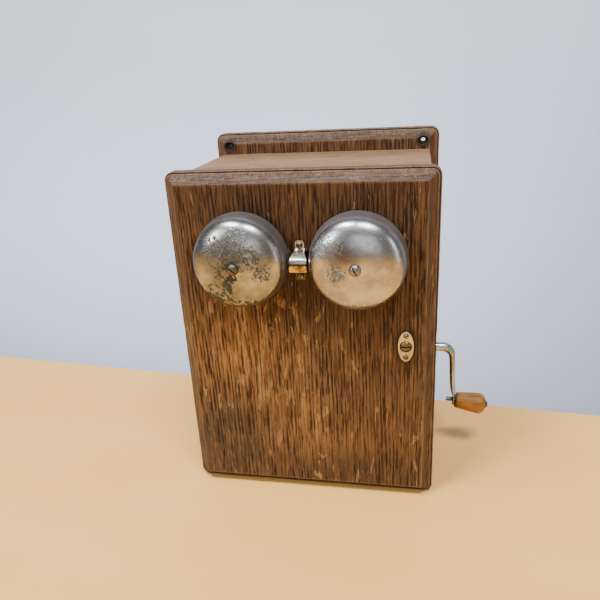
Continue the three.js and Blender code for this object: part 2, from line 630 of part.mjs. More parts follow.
// The rod out of the case, its elbow, and the flattened arm down to the spindle's foot.
function crankArm() {
  const elbowStart = ARM_X - 7.5;
  const rod = bar('x', CRANK_ROD_RADIUS, [66 + GAP, elbowStart], [0, 0, 0], 16);
  const section = new THREE.Shape();
  section.absarc(0, 0, CRANK_ROD_RADIUS - 0.02, 0, 2 * Math.PI);
  const bend = new THREE.QuadraticBezierCurve3(
    new THREE.Vector3(elbowStart - 1, 0, 0), new THREE.Vector3(ARM_X - 0.8, 0, 0),
    new THREE.Vector3(ARM_X - 0.4, 0, -10));
  const elbow = new THREE.ExtrudeGeometry(section, { steps: 8, extrudePath: bend, curveSegments: 8 });
  const foot = GRIP_X;
  const edgeOn = outline([
    [ARM_X - 2.6, -6], [ARM_X - 0.7, -GRIP_DROP + 11.5], [foot - 1.3, -GRIP_DROP + 5.5],
    [foot - 1.3, -GRIP_DROP - 7], [foot + 1.2, -GRIP_DROP - 7], [foot + 1.2, -GRIP_DROP + 7],
    [ARM_X + 3.5, -GRIP_DROP + 13], [ARM_X + 2.6, -6],
  ]);
  const strap = extrudeForward(edgeOn, 20).translate(0, 10, 0);
  const side = new THREE.Shape();
  side.moveTo(4.4, -4);
  side.lineTo(-4.4, -4);
  side.lineTo(-4.4, -GRIP_DROP + 10);
  side.absarc(0, -GRIP_DROP, 5.6, Math.PI, 2 * Math.PI);
  side.lineTo(4.4, -GRIP_DROP + 10);
  const blade = common(strap, extrudeAcross(side, 60, 8).translate(ARM_X, 0, 0));
  const spindleHole = bar('x', SPINDLE_RADIUS + 0.5, [foot - 5, foot + 5], [0, 0, -GRIP_DROP], 14);
  return cut(join(rod, elbow, blade), spindleHole);
}

// The spindle is riveted through the arm's foot, and its head holds the grip on.
function gripSpindle() {
  return turned('x', [
    [0, -7.2], [STUB_RADIUS, -7.2], [STUB_RADIUS, -1.9], [SPINDLE_RADIUS, -1.9],
    [SPINDLE_RADIUS, 31.2], [3, 31.2], [2.4, 32.2], [0, 32.6],
  ], 14);
}

function crankGrip() {
  const bore = SPINDLE_RADIUS + GAP;
  return turned('x', [
    [bore, 1.9], [7.3, 1.9], [7.7, 2.6], [8.6, 11], [9.6, 19], [10, 24], [9.3, 26.6], [7, 29],
    [3.6, 30.6], [bore, 30.9],
  ], 24);
}

// ---- Armature of the magneto, spinning below the crank shaft; its axis is y = z = 0 ----
const CORE_HALF = 38;                // half the length of the core

function armatureCore() {
  const half = CORE_HALF;
  const round = bar('x', ARMATURE_RADIUS, [-half, half], [0, 0, 0], 32);
  const slots = [-1, 1].map((side) =>
    box([-half - 1, half + 1], [side * 4, side * 20].sort((a, b) => a - b), [-7.5, 7.5]));
  const ends = [-1, 1].map((side) =>
    box([side * 31, side * (half + 1)].sort((a, b) => a - b), [-5, 5], [-7.5, 7.5]));
  return cut(round, ...slots, ...ends);
}

function armatureWinding() {
  const shape = roundedRectangle(-36.5, 36.5, -11.6, 11.6, 6);
  shape.holes.push(roundedRectangle(-31.5, 31.5, -4.4, 4.4, 0.5));
  const settings = { depth: 13.6, bevelEnabled: false, curveSegments: 4 };
  return new THREE.ExtrudeGeometry(shape, settings).translate(0, 0, -6.8);
}

// A disc on the core's end with its journal, which runs out to the given distance.
function armatureHead(end) {
  const inner = CORE_HALF + GAP;
  const outer = inner + 2.5;
  return turned('x', [[0, inner], [14.2, inner], [14.2, outer], [3, outer], [3, end], [0, end]], 24);
}

function armatureParts() {
  const pinion = extrudeAcross(gearOutline(PINION_TEETH), GEAR_WIDTH)
    .rotateX(Math.PI / PINION_TEETH).translate(GEAR_X, 0, 0);
  return group([MAGNETO_X, 0, ARMATURE_Z],
    part('armature_core', IRON, armatureCore()),
    part('armature_winding', COPPER_WIRE, armatureWinding()),
    part('armature_head_left', BRASS, armatureHead(49).rotateZ(Math.PI)),
    part('armature_pinion', BRASS, join(armatureHead(54), pinion)));
}

function crankParts() {
  const grip = group([GRIP_X, 0, -GRIP_DROP],
    part('grip_spindle', STEEL, gripSpindle()),
    part('crank_grip', HONEY_WOOD, crankGrip()));
  grip.rotation.y = GRIP_TILT;
  return group([0, 0, SHAFT_Z],
    part('crank_shaft', STEEL, crankShaft()),
    part('drive_gear', BRASS, driveGear(), [MAGNETO_X + GEAR_X, 0, 0]),
    part('crank_arm', NICKEL, crankArm()),
    grip);
}

// ---- Terminals and line wires on the backboard ----
function terminalParts() {
  const stripFront = CASE_BACK - GAP - 8;
  const post = () => turned('y', [
    [0, -GAP], [4.5, -GAP], [4.5, -2], [2, -2], [2, -6], [4, -6], [4, -10], [0, -11],
  ], 16);
  return [
    part('terminal_strip', HARD_RUBBER, box([-40, 40], [0, 8], [226, 244]), [0, stripFront, 0]),
    part('terminal_post_left', BRASS, post(), [-25, stripFront, 235]),
    part('terminal_post_right', BRASS, post(), [25, stripFront, 235]),
    part('line_wire_left', GREEN_SILK, wire([
      [-25, 59, 225.5], [-32, 60, 212], [-66, 60, 185], [-76, 58, 150], [-76, 36, 108],
      [-71, 10, 90], [-64.4, 8, 86],
    ], 1.2, 24, 6)),
    part('line_wire_right', GREEN_SILK, wire([
      [25, 59, 225.5], [32, 60, 212], [58, 60, 185], [64, 58, 130], [60, 48, 66], [48, 36, 44],
      [35.8, 28, 41.8],
    ], 1.2, 24, 6)),
  ];
}

const telephone = new THREE.Group();
telephone.name = 'crank_ringer_box';
telephone.add(
  group([0, 0, 0], caseParts(), hingeCaseParts(), terminalParts()),
  magnetoParts(),
  group([0, DOOR_BACK, 0], part('door_panel', OAK, doorPanel())),
  group([0, 0, 0], hingeDoorParts(), gongParts(), doorFittings()),
  ringerParts(),
  clapperParts(),
  group([0, 0, 0], latchParts()),
  armatureParts(),
  crankParts(),
);

export default telephone;
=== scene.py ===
from math import copysign, cos, exp, pi, radians, sin

import bmesh
import bpy
from mathutils import Matrix, Vector, noise


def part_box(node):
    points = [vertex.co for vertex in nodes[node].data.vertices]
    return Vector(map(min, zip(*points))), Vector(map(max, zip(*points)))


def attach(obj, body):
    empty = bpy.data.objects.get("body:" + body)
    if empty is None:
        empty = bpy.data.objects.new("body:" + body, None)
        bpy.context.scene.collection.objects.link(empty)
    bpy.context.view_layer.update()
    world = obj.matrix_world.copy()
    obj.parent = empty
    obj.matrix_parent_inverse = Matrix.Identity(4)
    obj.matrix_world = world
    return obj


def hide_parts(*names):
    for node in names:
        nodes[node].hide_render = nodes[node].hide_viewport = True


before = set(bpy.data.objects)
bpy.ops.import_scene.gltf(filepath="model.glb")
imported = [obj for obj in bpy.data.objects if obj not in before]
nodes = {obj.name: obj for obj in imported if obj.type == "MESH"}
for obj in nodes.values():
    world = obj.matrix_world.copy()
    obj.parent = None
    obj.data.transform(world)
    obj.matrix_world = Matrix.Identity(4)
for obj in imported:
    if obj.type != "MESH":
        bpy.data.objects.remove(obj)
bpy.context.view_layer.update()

# Wall crank telephone ringer box. Lengths are in millimetres and become metres in add_piece.
MM = 0.001


# ---- Places from the CAD, in millimetres ----
def node_box(name):
    low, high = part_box(name)
    return low / MM, high / MM


def node_middle(name):
    low, high = node_box(name)
    return (low + high) / 2


def node_half(name):
    """Half of a CAD node's size along X, Y and Z."""
    low, high = node_box(name)
    return (high - low) / 2


DOOR_LOW, DOOR_HIGH = node_box("door_panel")
DOOR_FRONT = DOOR_LOW.y
DOOR_BACK = DOOR_HIGH.y
BACKBOARD_LOW, BACKBOARD_HIGH = node_box("backboard")
SHAFT = node_middle("crank_shaft")
BALL = node_middle("clapper_ball")
LATCH = node_middle("latch_screw")
# The clapper's slot through the door, and the screw holes near the backboard's top
SLOT_HALF_WIDTH = 6.5
SLOT_BOTTOM = 212.5
SLOT_TOP = 228
WALL_SCREW_X = 95
WALL_SCREW_Z = 293


def new_object(name, data):
    obj = bpy.data.objects.new(name, data)
    bpy.context.scene.collection.objects.link(obj)
    return obj


# ---- Camera, at the reference view's angle ----
def make_camera():
    data = bpy.data.cameras.new("camera")
    data.sensor_width = 36
    data.lens = 35.1
    camera = new_object("camera", data)
    right = Vector((0.98149, 0.18427, -0.05227))
    up = Vector((-0.01898, 0.36516, 0.93076))
    place = Vector((0.0890, -0.5142, 0.3584))
    turn = Matrix((right, up, right.cross(up))).transposed()
    camera.matrix_world = Matrix.Translation(place) @ turn.to_4x4()
    bpy.context.scene.camera = camera


# ---- Mesh helpers ----
def add_piece(name, mesh, material, body, node, smooth_angle=32):
    mesh.name = name
    mesh.transform(Matrix.Scale(MM, 4))
    mesh.update()
    mesh.polygons.foreach_set("use_smooth", [True] * len(mesh.polygons))
    mesh.set_sharp_from_angle(angle=radians(smooth_angle))
    piece = new_object(name, mesh)
    mesh.materials.clear()
    mesh.materials.append(material)
    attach(piece, body)
    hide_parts(node)


def mesh_from(vertices, faces):
    mesh = bpy.data.meshes.new("shape")
    mesh.from_pydata([tuple(v) for v in vertices], [], faces)
    tidy = bmesh.new()
    tidy.from_mesh(mesh)
    bmesh.ops.remove_doubles(tidy, verts=tidy.verts, dist=1e-4)
    bmesh.ops.recalc_face_normals(tidy, faces=tidy.faces)
    tidy.to_mesh(mesh)
    tidy.free()
    return mesh


def bridge_rings(rings, closed_ends=True):
    """Vertices and faces of a skin through rings that all have the same number of points."""
    count = len(rings[0])
    vertices = [p for ring in rings for p in ring]
    faces = []
    for k in range(len(rings) - 1):
        for i in range(count):
            j = (i + 1) % count
            faces.append((k * count + i, k * count + j, (k + 1) * count + j, (k + 1) * count + i))
    if closed_ends:
        faces.append(tuple(range(count))[::-1])
        faces.append(tuple(range((len(rings) - 1) * count, len(rings) * count)))
    return vertices, faces


def fillet(points, radius, steps):
    """Rounds the inner corners of an open line of 2-D points."""
    line = [Vector(p) for p in points]
    result = [line[0]]
    for before, corner, after in zip(line, line[1:], line[2:]):
        reach = min(radius, (before - corner).length * 0.48, (after - corner).length * 0.48)
        start = corner + (before - corner).normalized() * reach
        end = corner + (after - corner).normalized() * reach
        for i in range(steps + 1):
            t = i / steps
            result.append(start * (1 - t) ** 2 + corner * 2 * t * (1 - t) + end * t * t)
    result.append(line[-1])
    return result


def spline(points, steps):
    """A smooth line through 2-D or 3-D points."""
    line = [Vector(p) for p in points]
    line = [line[0] * 2 - line[1]] + line + [line[-1] * 2 - line[-2]]
    result = []
    for a, b, c, d in zip(line, line[1:], line[2:], line[3:]):
        for i in range(steps):
            t = i / steps
            result.append(0.5 * (2 * b + (c - a) * t + (2 * a - 5 * b + 4 * c - d) * t * t
                                 + (3 * b - a - 3 * c + d) * t ** 3))
    result.append(line[-2])
    return result


# The turns that take a shape made around Z to run along another axis
TURNS = {"x": Matrix.Rotation(pi / 2, 4, "Y"), "-x": Matrix.Rotation(-pi / 2, 4, "Y"),
         "y": Matrix.Rotation(-pi / 2, 4, "X"), "-y": Matrix.Rotation(pi / 2, 4, "X"),
         "z": Matrix.Identity(4)}


def lathe_mesh(profile, axis, place, segments):
    """A turned solid: profile points are (radius, distance along the axis from place)."""
    rings = []
    for radius, along in profile:
        radius = max(radius, 1e-3)
        rings.append([(radius * cos(a), radius * sin(a), along)
                      for a in (2 * pi * i / segments for i in range(segments))])
    closed = (Vector(profile[0]) - Vector(profile[-1])).length < 1e-6
    mesh = mesh_from(*bridge_rings(rings, closed_ends=not closed))
    mesh.transform(Matrix.Translation(place) @ TURNS[axis])
    return mesh


def bore(radius, reach, axis, place, segments=32):
    """A cylinder that cuts a hole, reaching the same distance both ways from its place."""
    return lathe_mesh([(radius, -reach), (radius, reach)], axis, place, segments)


def loft_mesh(stations, sides, power=2.0):
    """A swept solid through stations of (centre, half-width, half-height), squarer above a power of 2."""
    rings = []
    for centre, wide, high in stations:
        ring = []
        for i in range(sides):
            a = 2 * pi * i / sides
            c, s = cos(a), sin(a)
            u = copysign(abs(c) ** (2 / power), c)
            v = copysign(abs(s) ** (2 / power), s)
            ring.append(Vector(centre) + Vector(wide) * u + Vector(high) * v)
        rings.append(ring)
    return mesh_from(*bridge_rings(rings))


def arc(half_width, half_height, start, end, steps, rise=0.0):
    """Points on an ellipse around (0, rise), from one angle to another."""
    turn = [start + (end - start) * i / steps for i in range(steps + 1)]
    return [(half_width * cos(a), rise + half_height * sin(a)) for a in turn]


def tangent_at(line, i):
    return (line[min(i + 1, len(line) - 1)] - line[max(i - 1, 0)]).normalized()


def wire_mesh(points, radius, sides, steps):
    """A round wire along a smooth line, with a frame carried along it."""
    line = spline(points, steps)
    stations = []
    side = None
    for i, point in enumerate(line):
        tangent = tangent_at(line, i)
        if side is None:
            side = tangent.orthogonal().normalized()
        side = (side - tangent * side.dot(tangent)).normalized()
        stations.append((point, side * radius, tangent.cross(side) * radius))
    return loft_mesh(stations, sides)


def bar_mesh(line, sizes, wide, sides, power):
    """A flat bar along a line: its half-width runs along one direction, its half-thickness across."""
    stations = []
    for i, (half_width, half_thickness) in enumerate(sizes):
        across = tangent_at(line, i).cross(wide).normalized()
        stations.append((line[i], wide * half_width, across * half_thickness))
    return loft_mesh(stations, sides, power)


def prism_mesh(outline, low, high, to_world):
    """An outline made solid between two depths; to_world maps (u, v, depth) to X, Y, Z."""
    count = len(outline)
    vertices = [to_world(u, v, w) for w in (low, high) for u, v in outline]
    faces = [tuple(range(count))[::-1], tuple(range(count, 2 * count))]
    faces += [(i, (i + 1) % count, count + (i + 1) % count, count + i) for i in range(count)]
    return mesh_from(vertices, faces)


def box_mesh(low, high):
    (x0, y0, z0), (x1, y1, z1) = low, high
    vertices = [(x, y, z) for x in (x0, x1) for y in (y0, y1) for z in (z0, z1)]
    faces = [(0, 1, 3, 2), (4, 6, 7, 5), (0, 4, 5, 1), (2, 3, 7, 6), (0, 2, 6, 4), (1, 5, 7, 3)]
    return mesh_from(vertices, faces)


def apply_modifier(mesh, kind, **values):
    """The mesh that a modifier makes from another mesh."""
    carrier = new_object("carrier", mesh)
    modifier = carrier.modifiers.new(kind.lower(), kind)
    for key, value in values.items():
        setattr(modifier, key, value)
    bpy.context.view_layer.update()
    evaluated = carrier.evaluated_get(bpy.context.evaluated_depsgraph_get())
    result = bpy.data.meshes.new_from_object(evaluated)
    bpy.data.objects.remove(carrier)
    return result


def bevelled(mesh, width, segments, angle=30):
    return apply_modifier(mesh, "BEVEL", width=width, segments=segments, limit_method="ANGLE",
                          angle_limit=radians(angle))


def cut_mesh(mesh, *cutters):
    for cutter in cutters:
        tool = new_object("cutter", cutter)
        mesh = apply_modifier(mesh, "BOOLEAN", object=tool, operation="DIFFERENCE", solver="EXACT")
        bpy.data.objects.remove(tool)
    return mesh


def join_meshes(*meshes):
    joined = bmesh.new()
    for mesh in meshes:
        joined.from_mesh(mesh)
    result = bpy.data.meshes.new("shape")
    joined.to_mesh(result)
    joined.free()
    return result


# ---- Material helpers ----
def rgb(red, green, blue):
    """A colour given as 0 to 255 display values."""
    def linear(value):
        value /= 255
        return value / 12.92 if value <= 0.04045 else ((value + 0.055) / 1.055) ** 2.4
    return (linear(red), linear(green), linear(blue), 1)


class Nodes:
    """A small builder for a material's node tree."""

    def __init__(self, name):
        self.material = bpy.data.materials.new(name)
        self.material.use_nodes = True
        self.tree = self.material.node_tree
        self.shader = self.tree.nodes["Principled BSDF"]
        where = self.add("ShaderNodeTexCoord")
        self.place = where.outputs["Object"]
        self.normal = where.outputs["Normal"]

    def add(self, kind, **values):
        node = self.tree.nodes.new(kind)
        for key, value in values.items():
            setattr(node, key, value)
        return node

    def link(self, source, target):
        self.tree.links.new(source, target)

    def put(self, socket, value):
        if isinstance(value, bpy.types.NodeSocket):
            self.link(value, socket)
        else:
            socket.default_value = value

    def split(self, vector):
        """The X, Y and Z of a vector."""
        node = self.add("ShaderNodeSeparateXYZ")
        self.link(vector, node.inputs["Vector"])
        return node.outputs

    def stretched(self, scale, centre):
        """The place, measured from a centre and scaled."""
        node = self.add("ShaderNodeMapping")
        self.link(self.place, node.inputs["Vector"])
        node.inputs["Scale"].default_value = scale
        node.inputs["Location"].default_value = [-c * s for c, s in zip(centre, scale)]
        return node.outputs["Vector"]

    def noise(self, scale, detail=4, roughness=0.55, distortion=0.0, centre=(0, 0, 0)):
        """Noise at one scale, or at a scale for each axis."""
        if isinstance(scale, int):
            scale = (scale, scale, scale)
        node = self.add("ShaderNodeTexNoise")
        self.link(self.stretched(scale, centre), node.inputs["Vector"])
        node.inputs["Scale"].default_value = 1
        node.inputs["Detail"].default_value = detail
        node.inputs["Roughness"].default_value = roughness
        node.inputs["Distortion"].default_value = distortion
        return node.outputs["Fac"]

    def grain(self, axis, across, along, *values, **centre):
        """Noise drawn out along an axis, as a grain is."""
        return self.noise(tuple(along if name == axis else across for name in "xyz"), *values, **centre)

    def ramp(self, value, low, high, start=0.0, end=1.0):
        node = self.add("ShaderNodeMapRange")
        self.link(value, node.inputs["Value"])
        for key, number in (("From Min", low), ("From Max", high), ("To Min", start), ("To Max", end)):
            node.inputs[key].default_value = number
        return node.outputs["Result"]

    def math(self, operation, a, b=0.0, *more):
        """An operation on two values, and then on that result and each further value."""
        node = self.add("ShaderNodeMath", operation=operation)
        self.put(node.inputs[0], a)
        self.put(node.inputs[1], b)
        result = node.outputs["Value"]
        return self.math(operation, result, *more) if more else result

    def times(self, *values):
        return self.math("MULTIPLY", *values)

    def plus(self, *values):
        return self.math("ADD", *values)

    def minus(self, a, b):
        return self.math("SUBTRACT", a, b)

    def highest(self, a, b):
        return self.math("MAXIMUM", a, b)

    def mix(self, factor, a, b, blend="MIX"):
        """A mix of two colours, each a socket or 0 to 255 display values."""
        node = self.add("ShaderNodeMix", data_type="RGBA", blend_type=blend)
        self.put(node.inputs[0], factor)
        for index, colour in ((6, a), (7, b)):
            self.put(node.inputs[index], rgb(*colour) if isinstance(colour, tuple) else colour)
        return node.outputs[2]

    def near(self, centre, radii):
        """1 at a place given in metres, falling to 0 at the radii around it."""
        node = self.add("ShaderNodeVectorMath", operation="LENGTH")
        self.link(self.stretched([1 / r for r in radii], centre), node.inputs[0])
        return self.ramp(node.outputs["Value"], 0.35, 1.0, 1.0, 0.0)

    def attribute(self, name):
        """A value stored on the mesh: wear, grime and painted shade, haze or flange."""
        return self.add("ShaderNodeAttribute", attribute_name=name).outputs["Fac"]

    def bump(self, height, distance, strength):
        node = self.add("ShaderNodeBump")
        self.link(height, node.inputs["Height"])
        node.inputs["Distance"].default_value = distance
        node.inputs["Strength"].default_value = strength
        return node.outputs["Normal"]

    def finish(self, **inputs):
        for key, value in inputs.items():
            self.put(self.shader.inputs[key.replace("_", " ")], value)
        return self.material


RING_SPACING = 0.0032
DIRT_AND_SHADE = (16, 8, 4)


def grain_rings(n, axis):
    """Rows of year rings that sway along the grain and have ragged edges, around 0.5."""
    place = n.split(n.place)
    across = [place[letter] for letter in "XYZ" if letter != axis.upper()]
    phase = n.times(n.plus(*across), 2 * pi / RING_SPACING)
    sway = n.times(n.grain(axis, 20, 3, 3, 0.5), 26)
    rings = n.math("SINE", n.plus(phase, sway))
    ragged = n.grain(axis, 600, 36, 4, 0.68, 0.06)
    return n.plus(n.times(rings, 0.07), ragged)


def pore_lines(n, axis):
    """Two sets of thin broken lines along the grain, a coarse one and a fine one."""
    pores = None
    for spacing, seed, thin, thick in ((150, 0.3, 0.026, 0.044), (300, 0.8, 0.036, 0.06)):
        line = n.grain(axis, spacing, 5, 3, 0.6, 0.1, centre=(seed, 0.1, 0.2))
        line = n.ramp(n.math("ABSOLUTE", n.minus(line, 0.5)), thin, thick, 1.0, 0.0)
        broken = n.ramp(n.grain(axis, 380, 52, 2, 0.5, centre=(seed, 0.4, 0.6)), 0.45, 0.51)
        line = n.times(line, broken)
        pores = line if pores is None else n.highest(pores, line)
    return pores


def dusty_end_grain(n, dark, light):
    """The rough, scratched colour of the slopes that face up."""
    rough = n.ramp(n.noise((42, 900, 900), 4, 0.65, 0.3), 0.35, 0.65)
    scratch = n.ramp(n.noise((160, 300, 900), 2, 0.5, 1.6), 0.6, 0.66, 0, 0.6)
    return n.mix(scratch, n.mix(rough, dark, light), (150, 126, 108))


def oak(name, axis="z", dark=(62, 38, 23), light=(115, 84, 51), gold=(150, 114, 70),
        end=((46, 33, 28), (120, 98, 88)), patches=(), painted_shades=(), spots=(), flecked=None, dust=0.8,
        pore_strength=0.85, edge_fade=0.0, bleached=None):
    """Stained oak: ring rows, pore lines, ray flecks, patches, worn and dusty edges, and painted shade.

    Patches and painted shades are (place, radii, colour, amount); spots and flecked are (place, radii).
    """
    n = Nodes(name)
    figure = n.ramp(n.grain(axis, 30, 4, 3, 0.5, 0.4), 0.36, 0.64)
    rings = grain_rings(n, axis)
    streaks = n.ramp(rings, 0.43, 0.55)
    fine = n.ramp(n.grain(axis, 1100, 70, 3, 0.65, 0.06), 0.42, 0.58)
    tone = n.plus(n.times(streaks, 0.46), n.times(fine, 0.31), n.times(figure, 0.23))
    colour = n.mix(n.ramp(tone, 0.15, 0.85), dark, light)
    ragged_edge = n.ramp(n.noise((95, 95, 42), 5, 0.62, 0.8), 0.38, 0.52)
    streaked = n.ramp(tone, 0.1, 0.8, 0.35, 1.0)
    for place, radii, tint, amount in patches:
        patch = n.times(n.near(place, radii), ragged_edge, streaked, amount)
        colour = n.mix(patch, colour, tint)
    # Painted shade: each one multiplies the colour darker over an area where shade falls
    for place, radii, tint, amount in painted_shades:
        shade = n.times(n.near(place, radii), n.ramp(figure, 0.0, 0.6, amount * 0.75, amount))
        colour = n.mix(shade, colour, tint, "MULTIPLY")
    level = n.grain(axis, 130, 36, 3, 0.55, 0.9, centre=(0.7, 0.2, 0.5))
    if flecked:
        level = n.plus(level, n.times(n.near(*flecked), 0.09))
    flecks = n.times(n.ramp(level, 0.648, 0.672), n.ramp(fine, 0.0, 0.5, 0.4, 0.8))
    colour = n.mix(flecks, colour, gold)
    pores = n.times(pore_lines(n, axis), n.ramp(rings, 0.56, 0.44, 0.25, 1.0))
    colour = n.mix(n.times(pores, pore_strength), colour, (13, 5, 2))
    facing = n.split(n.normal)
    if edge_fade:
        sideways = n.ramp(n.math("ABSOLUTE", facing["Y"]), 0.85, 0.5, 0, edge_fade)
        colour = n.mix(sideways, colour, (100, 80, 60))
    height = facing["Z"]
    sloping = n.ramp(height, 0.8, 0.95, 1.0, 0.3)
    upward = n.times(n.ramp(height, 0.35, 0.6, 0, dust), sloping)
    colour = n.mix(upward, colour, dusty_end_grain(n, *end))
    if bleached:
        faded = n.mix(n.ramp(tone, 0.1, 0.9), bleached[0], bleached[1])
        colour = n.mix(n.ramp(height, 0.85, 0.95), colour, faded)
    # Grime and painted shade from the mesh: darkest in the moulding's crease and cove
    colour = n.mix(n.times(n.attribute("grime_and_shade"), 0.88), colour, DIRT_AND_SHADE)
    rubbed = n.ramp(n.noise((120, 120, 60), 4, 0.6), 0.3, 0.55, 0.2, 0.9)
    colour = n.mix(n.times(n.attribute("wear"), rubbed), colour, (122, 98, 76))
    # Painted shade: faces that look down are darkened as if shaded
    colour = n.mix(n.ramp(height, -0.3, -0.6, 0, 0.85), colour, DIRT_AND_SHADE)
    # Near-black spots: painted shade in the wall screw holes, and a dark halo round the escutcheon
    for place, radii in spots:
        colour = n.mix(n.near(place, radii), colour, (9, 6, 4))
    normal = n.bump(n.minus(n.times(streaks, 0.4), pores), 0.0003, 0.8)
    roughness = n.ramp(n.plus(streaks, pores), 0.0, 1.6, 0.45, 0.7)
    return n.finish(Base_Color=colour, Roughness=roughness, Normal=normal, Specular_IOR_Level=0.22)


def tarnished(name, clean, dull, roughness, pits=0.0, stains=(), smudges_and_reflections=(), specks=0.25):
    """Polished metal gone dull: cloudy tone, fine scratches, specks, corroded stains, painted shade in
    screw slots and painted reflections.

    Stains are (place, radii, amount, share of fine specks); smudges and reflections are (place, radii,
    colour, amount), each a tarnish film or, on the right gong, a painted dark reflection.
    """
    n = Nodes(name)
    cloud = n.noise(60, 5, 0.6)
    colour = n.mix(n.ramp(cloud, 0.38, 0.66), clean, dull)
    for place, radii, tint, amount in smudges_and_reflections:
        tinted_area = n.times(n.near(place, radii), n.ramp(cloud, 0.3, 0.62, 0.35, 1.0), amount)
        colour = n.mix(tinted_area, colour, tint)
    fine = n.noise(540, 4, 0.68)
    blotch = n.noise(150, 5, 0.7, 0.6, centre=(0.4, 0.1, 0.3))
    corroded = n.times(n.ramp(fine, 0.66, 0.7), specks)
    for place, radii, amount, fineness in stains:
        zone = n.near(place, radii)
        film = n.times(n.ramp(zone, 0.0, 0.8, 0, amount), n.ramp(blotch, 0.4, 0.56, 0, 0.55))
        colour = n.mix(film, colour, (92, 92, 70))
        level = n.plus(n.times(fine, fineness), n.times(blotch, 1 - fineness), n.times(zone, 0.13))
        stain = n.times(n.ramp(level, 0.585, 0.625), n.ramp(zone, 0.0, 0.3, 0, amount))
        corroded = n.highest(corroded, stain)
    if pits:
        pit = n.ramp(n.noise(900, 2, 0.5), 0.62, 0.68, 0, pits)
        corroded = n.highest(corroded, pit)
    crust = n.mix(n.ramp(blotch, 0.42, 0.6), (13, 9, 5), (46, 44, 30))
    haze = n.attribute("haze")
    colour = n.mix(n.times(haze, 0.8), colour, (70, 62, 60))
    colour = n.mix(corroded, colour, crust)
    # Painted shade from the mesh: the floors of the screw slots
    grime_and_shade = n.attribute("grime_and_shade")
    colour = n.mix(n.times(grime_and_shade, 0.95), colour, (26, 20, 14))
    scratches = n.grain("x", 1600, 60, 2, 0.5, 0.4)
    scratched = n.plus(cloud, n.times(scratches, 0.5))
    gloss = n.ramp(scratched, 0.5, 1.0, roughness, roughness + 0.16)
    rough = n.highest(corroded, grime_and_shade)
    gloss = n.plus(gloss, n.times(rough, 0.5), n.times(haze, 0.16))
    metal = n.minus(n.ramp(rough, 0.0, 1.0, 1.0, 0.1), n.times(haze, 0.55))
    normal = n.bump(n.minus(n.times(scratches, 0.06), corroded), 0.00012, 0.6)
    return n.finish(Base_Color=colour, Metallic=metal, Roughness=gloss, Normal=normal)


def worn_through(name, seam):
    """The guard's strap: nickel above a height in metres, mottled bare brass below it."""
    n = Nodes(name)
    cloud = n.noise(260, 4, 0.65)
    ragged = n.plus(n.split(n.place)["Z"], n.times(cloud, 0.002))
    brass_part = n.ramp(ragged, seam + 0.0018, seam + 0.0002)
    nickel_colour = n.mix(n.ramp(cloud, 0.4, 0.65), (196, 190, 178), (140, 132, 116))
    brass_colour = n.mix(n.ramp(cloud, 0.42, 0.6), (196, 170, 108), (112, 88, 42))
    colour = n.mix(brass_part, nickel_colour, brass_colour)
    above_seam = n.ramp(ragged, seam, seam + 0.001)
    line = n.times(n.ramp(ragged, seam + 0.003, seam + 0.0018), above_seam)
    colour = n.mix(line, colour, (72, 62, 36))
    # Painted shade: the foot under the bulge is darker and duller
    shaded_foot = n.times(n.attribute("grime_and_shade"), n.ramp(cloud, 0.3, 0.6, 0.75, 1.0))
    colour = n.mix(shaded_foot, colour, (50, 38, 22))
    metal = n.ramp(shaded_foot, 0.0, 1.0, 0.95, 0.3)
    return n.finish(Base_Color=colour, Metallic=metal, Roughness=n.ramp(cloud, 0.35, 0.65, 0.18, 0.38),
                    Normal=n.bump(cloud, 0.0001, 0.4))


def painted_iron(name, colour=(38, 37, 38), rust=0.3):
    n = Nodes(name)
    grain = n.noise(400, 5, 0.6)
    patch = n.ramp(n.noise(60, 5, 0.65), 0.55, 0.72, 0, rust)
    base = n.mix(n.ramp(grain, 0.35, 0.7), colour, tuple(c + 22 for c in colour))
    base = n.mix(patch, base, (104, 66, 42))
    roughness = n.ramp(grain, 0.3, 0.7, 0.42, 0.66)
    return n.finish(Base_Color=base, Metallic=0.4, Roughness=roughness, Normal=n.bump(grain, 0.0002, 0.5))


def wound(name, colour, shade, pitch):
    """Silk-covered or varnished wire in close turns along Z."""
    n = Nodes(name)
    turns = n.math("SINE", n.times(n.split(n.place)["Z"], 2 * pi / pitch))
    fuzz = n.noise(900, 3)
    base = n.mix(n.ramp(turns, -1, 1), shade, colour)
    base = n.mix(n.ramp(fuzz, 0.4, 0.7, 0, 0.4), base, tuple(min(255, c + 26) for c in colour))
    base = n.mix(n.attribute("flange"), base, (24, 20, 17))
    return n.finish(Base_Color=base, Roughness=n.ramp(fuzz, 0.3, 0.7, 0.6, 0.85),
                    Normal=n.bump(turns, 0.0002, 0.8))


def hard_rubber(name):
    n = Nodes(name)
    bloom = n.noise(80, 5, 0.6)
    base = n.mix(n.ramp(bloom, 0.4, 0.75), (30, 27, 25), (70, 62, 50))
    return n.finish(Base_Color=base, Roughness=n.ramp(bloom, 0.3, 0.7, 0.35, 0.6),
                    Normal=n.bump(n.noise(700, 3), 0.0001, 0.4))


def honey_wood(name):
    """The grip's amber varnish over straight grain, with dirt near both ends."""
    n = Nodes(name)
    streaks = n.noise((40, 700, 700), 4, 0.6, 0.5)
    cloud = n.noise((60, 90, 90), 4, 0.6)
    base = n.mix(n.ramp(streaks, 0.35, 0.7), (108, 68, 18), (172, 120, 42))
    base = n.mix(n.ramp(cloud, 0.5, 0.75, 0, 0.6), base, (196, 116, 48))
    grime_and_shade = n.times(n.attribute("wear"), n.ramp(cloud, 0.3, 0.6, 0.5, 1.0))
    base = n.mix(grime_and_shade, base, (66, 40, 22))
    return n.finish(Base_Color=base, Roughness=n.ramp(streaks, 0.3, 0.7, 0.4, 0.55),
                    Normal=n.bump(streaks, 0.00012, 0.5), Specular_IOR_Level=0.35)


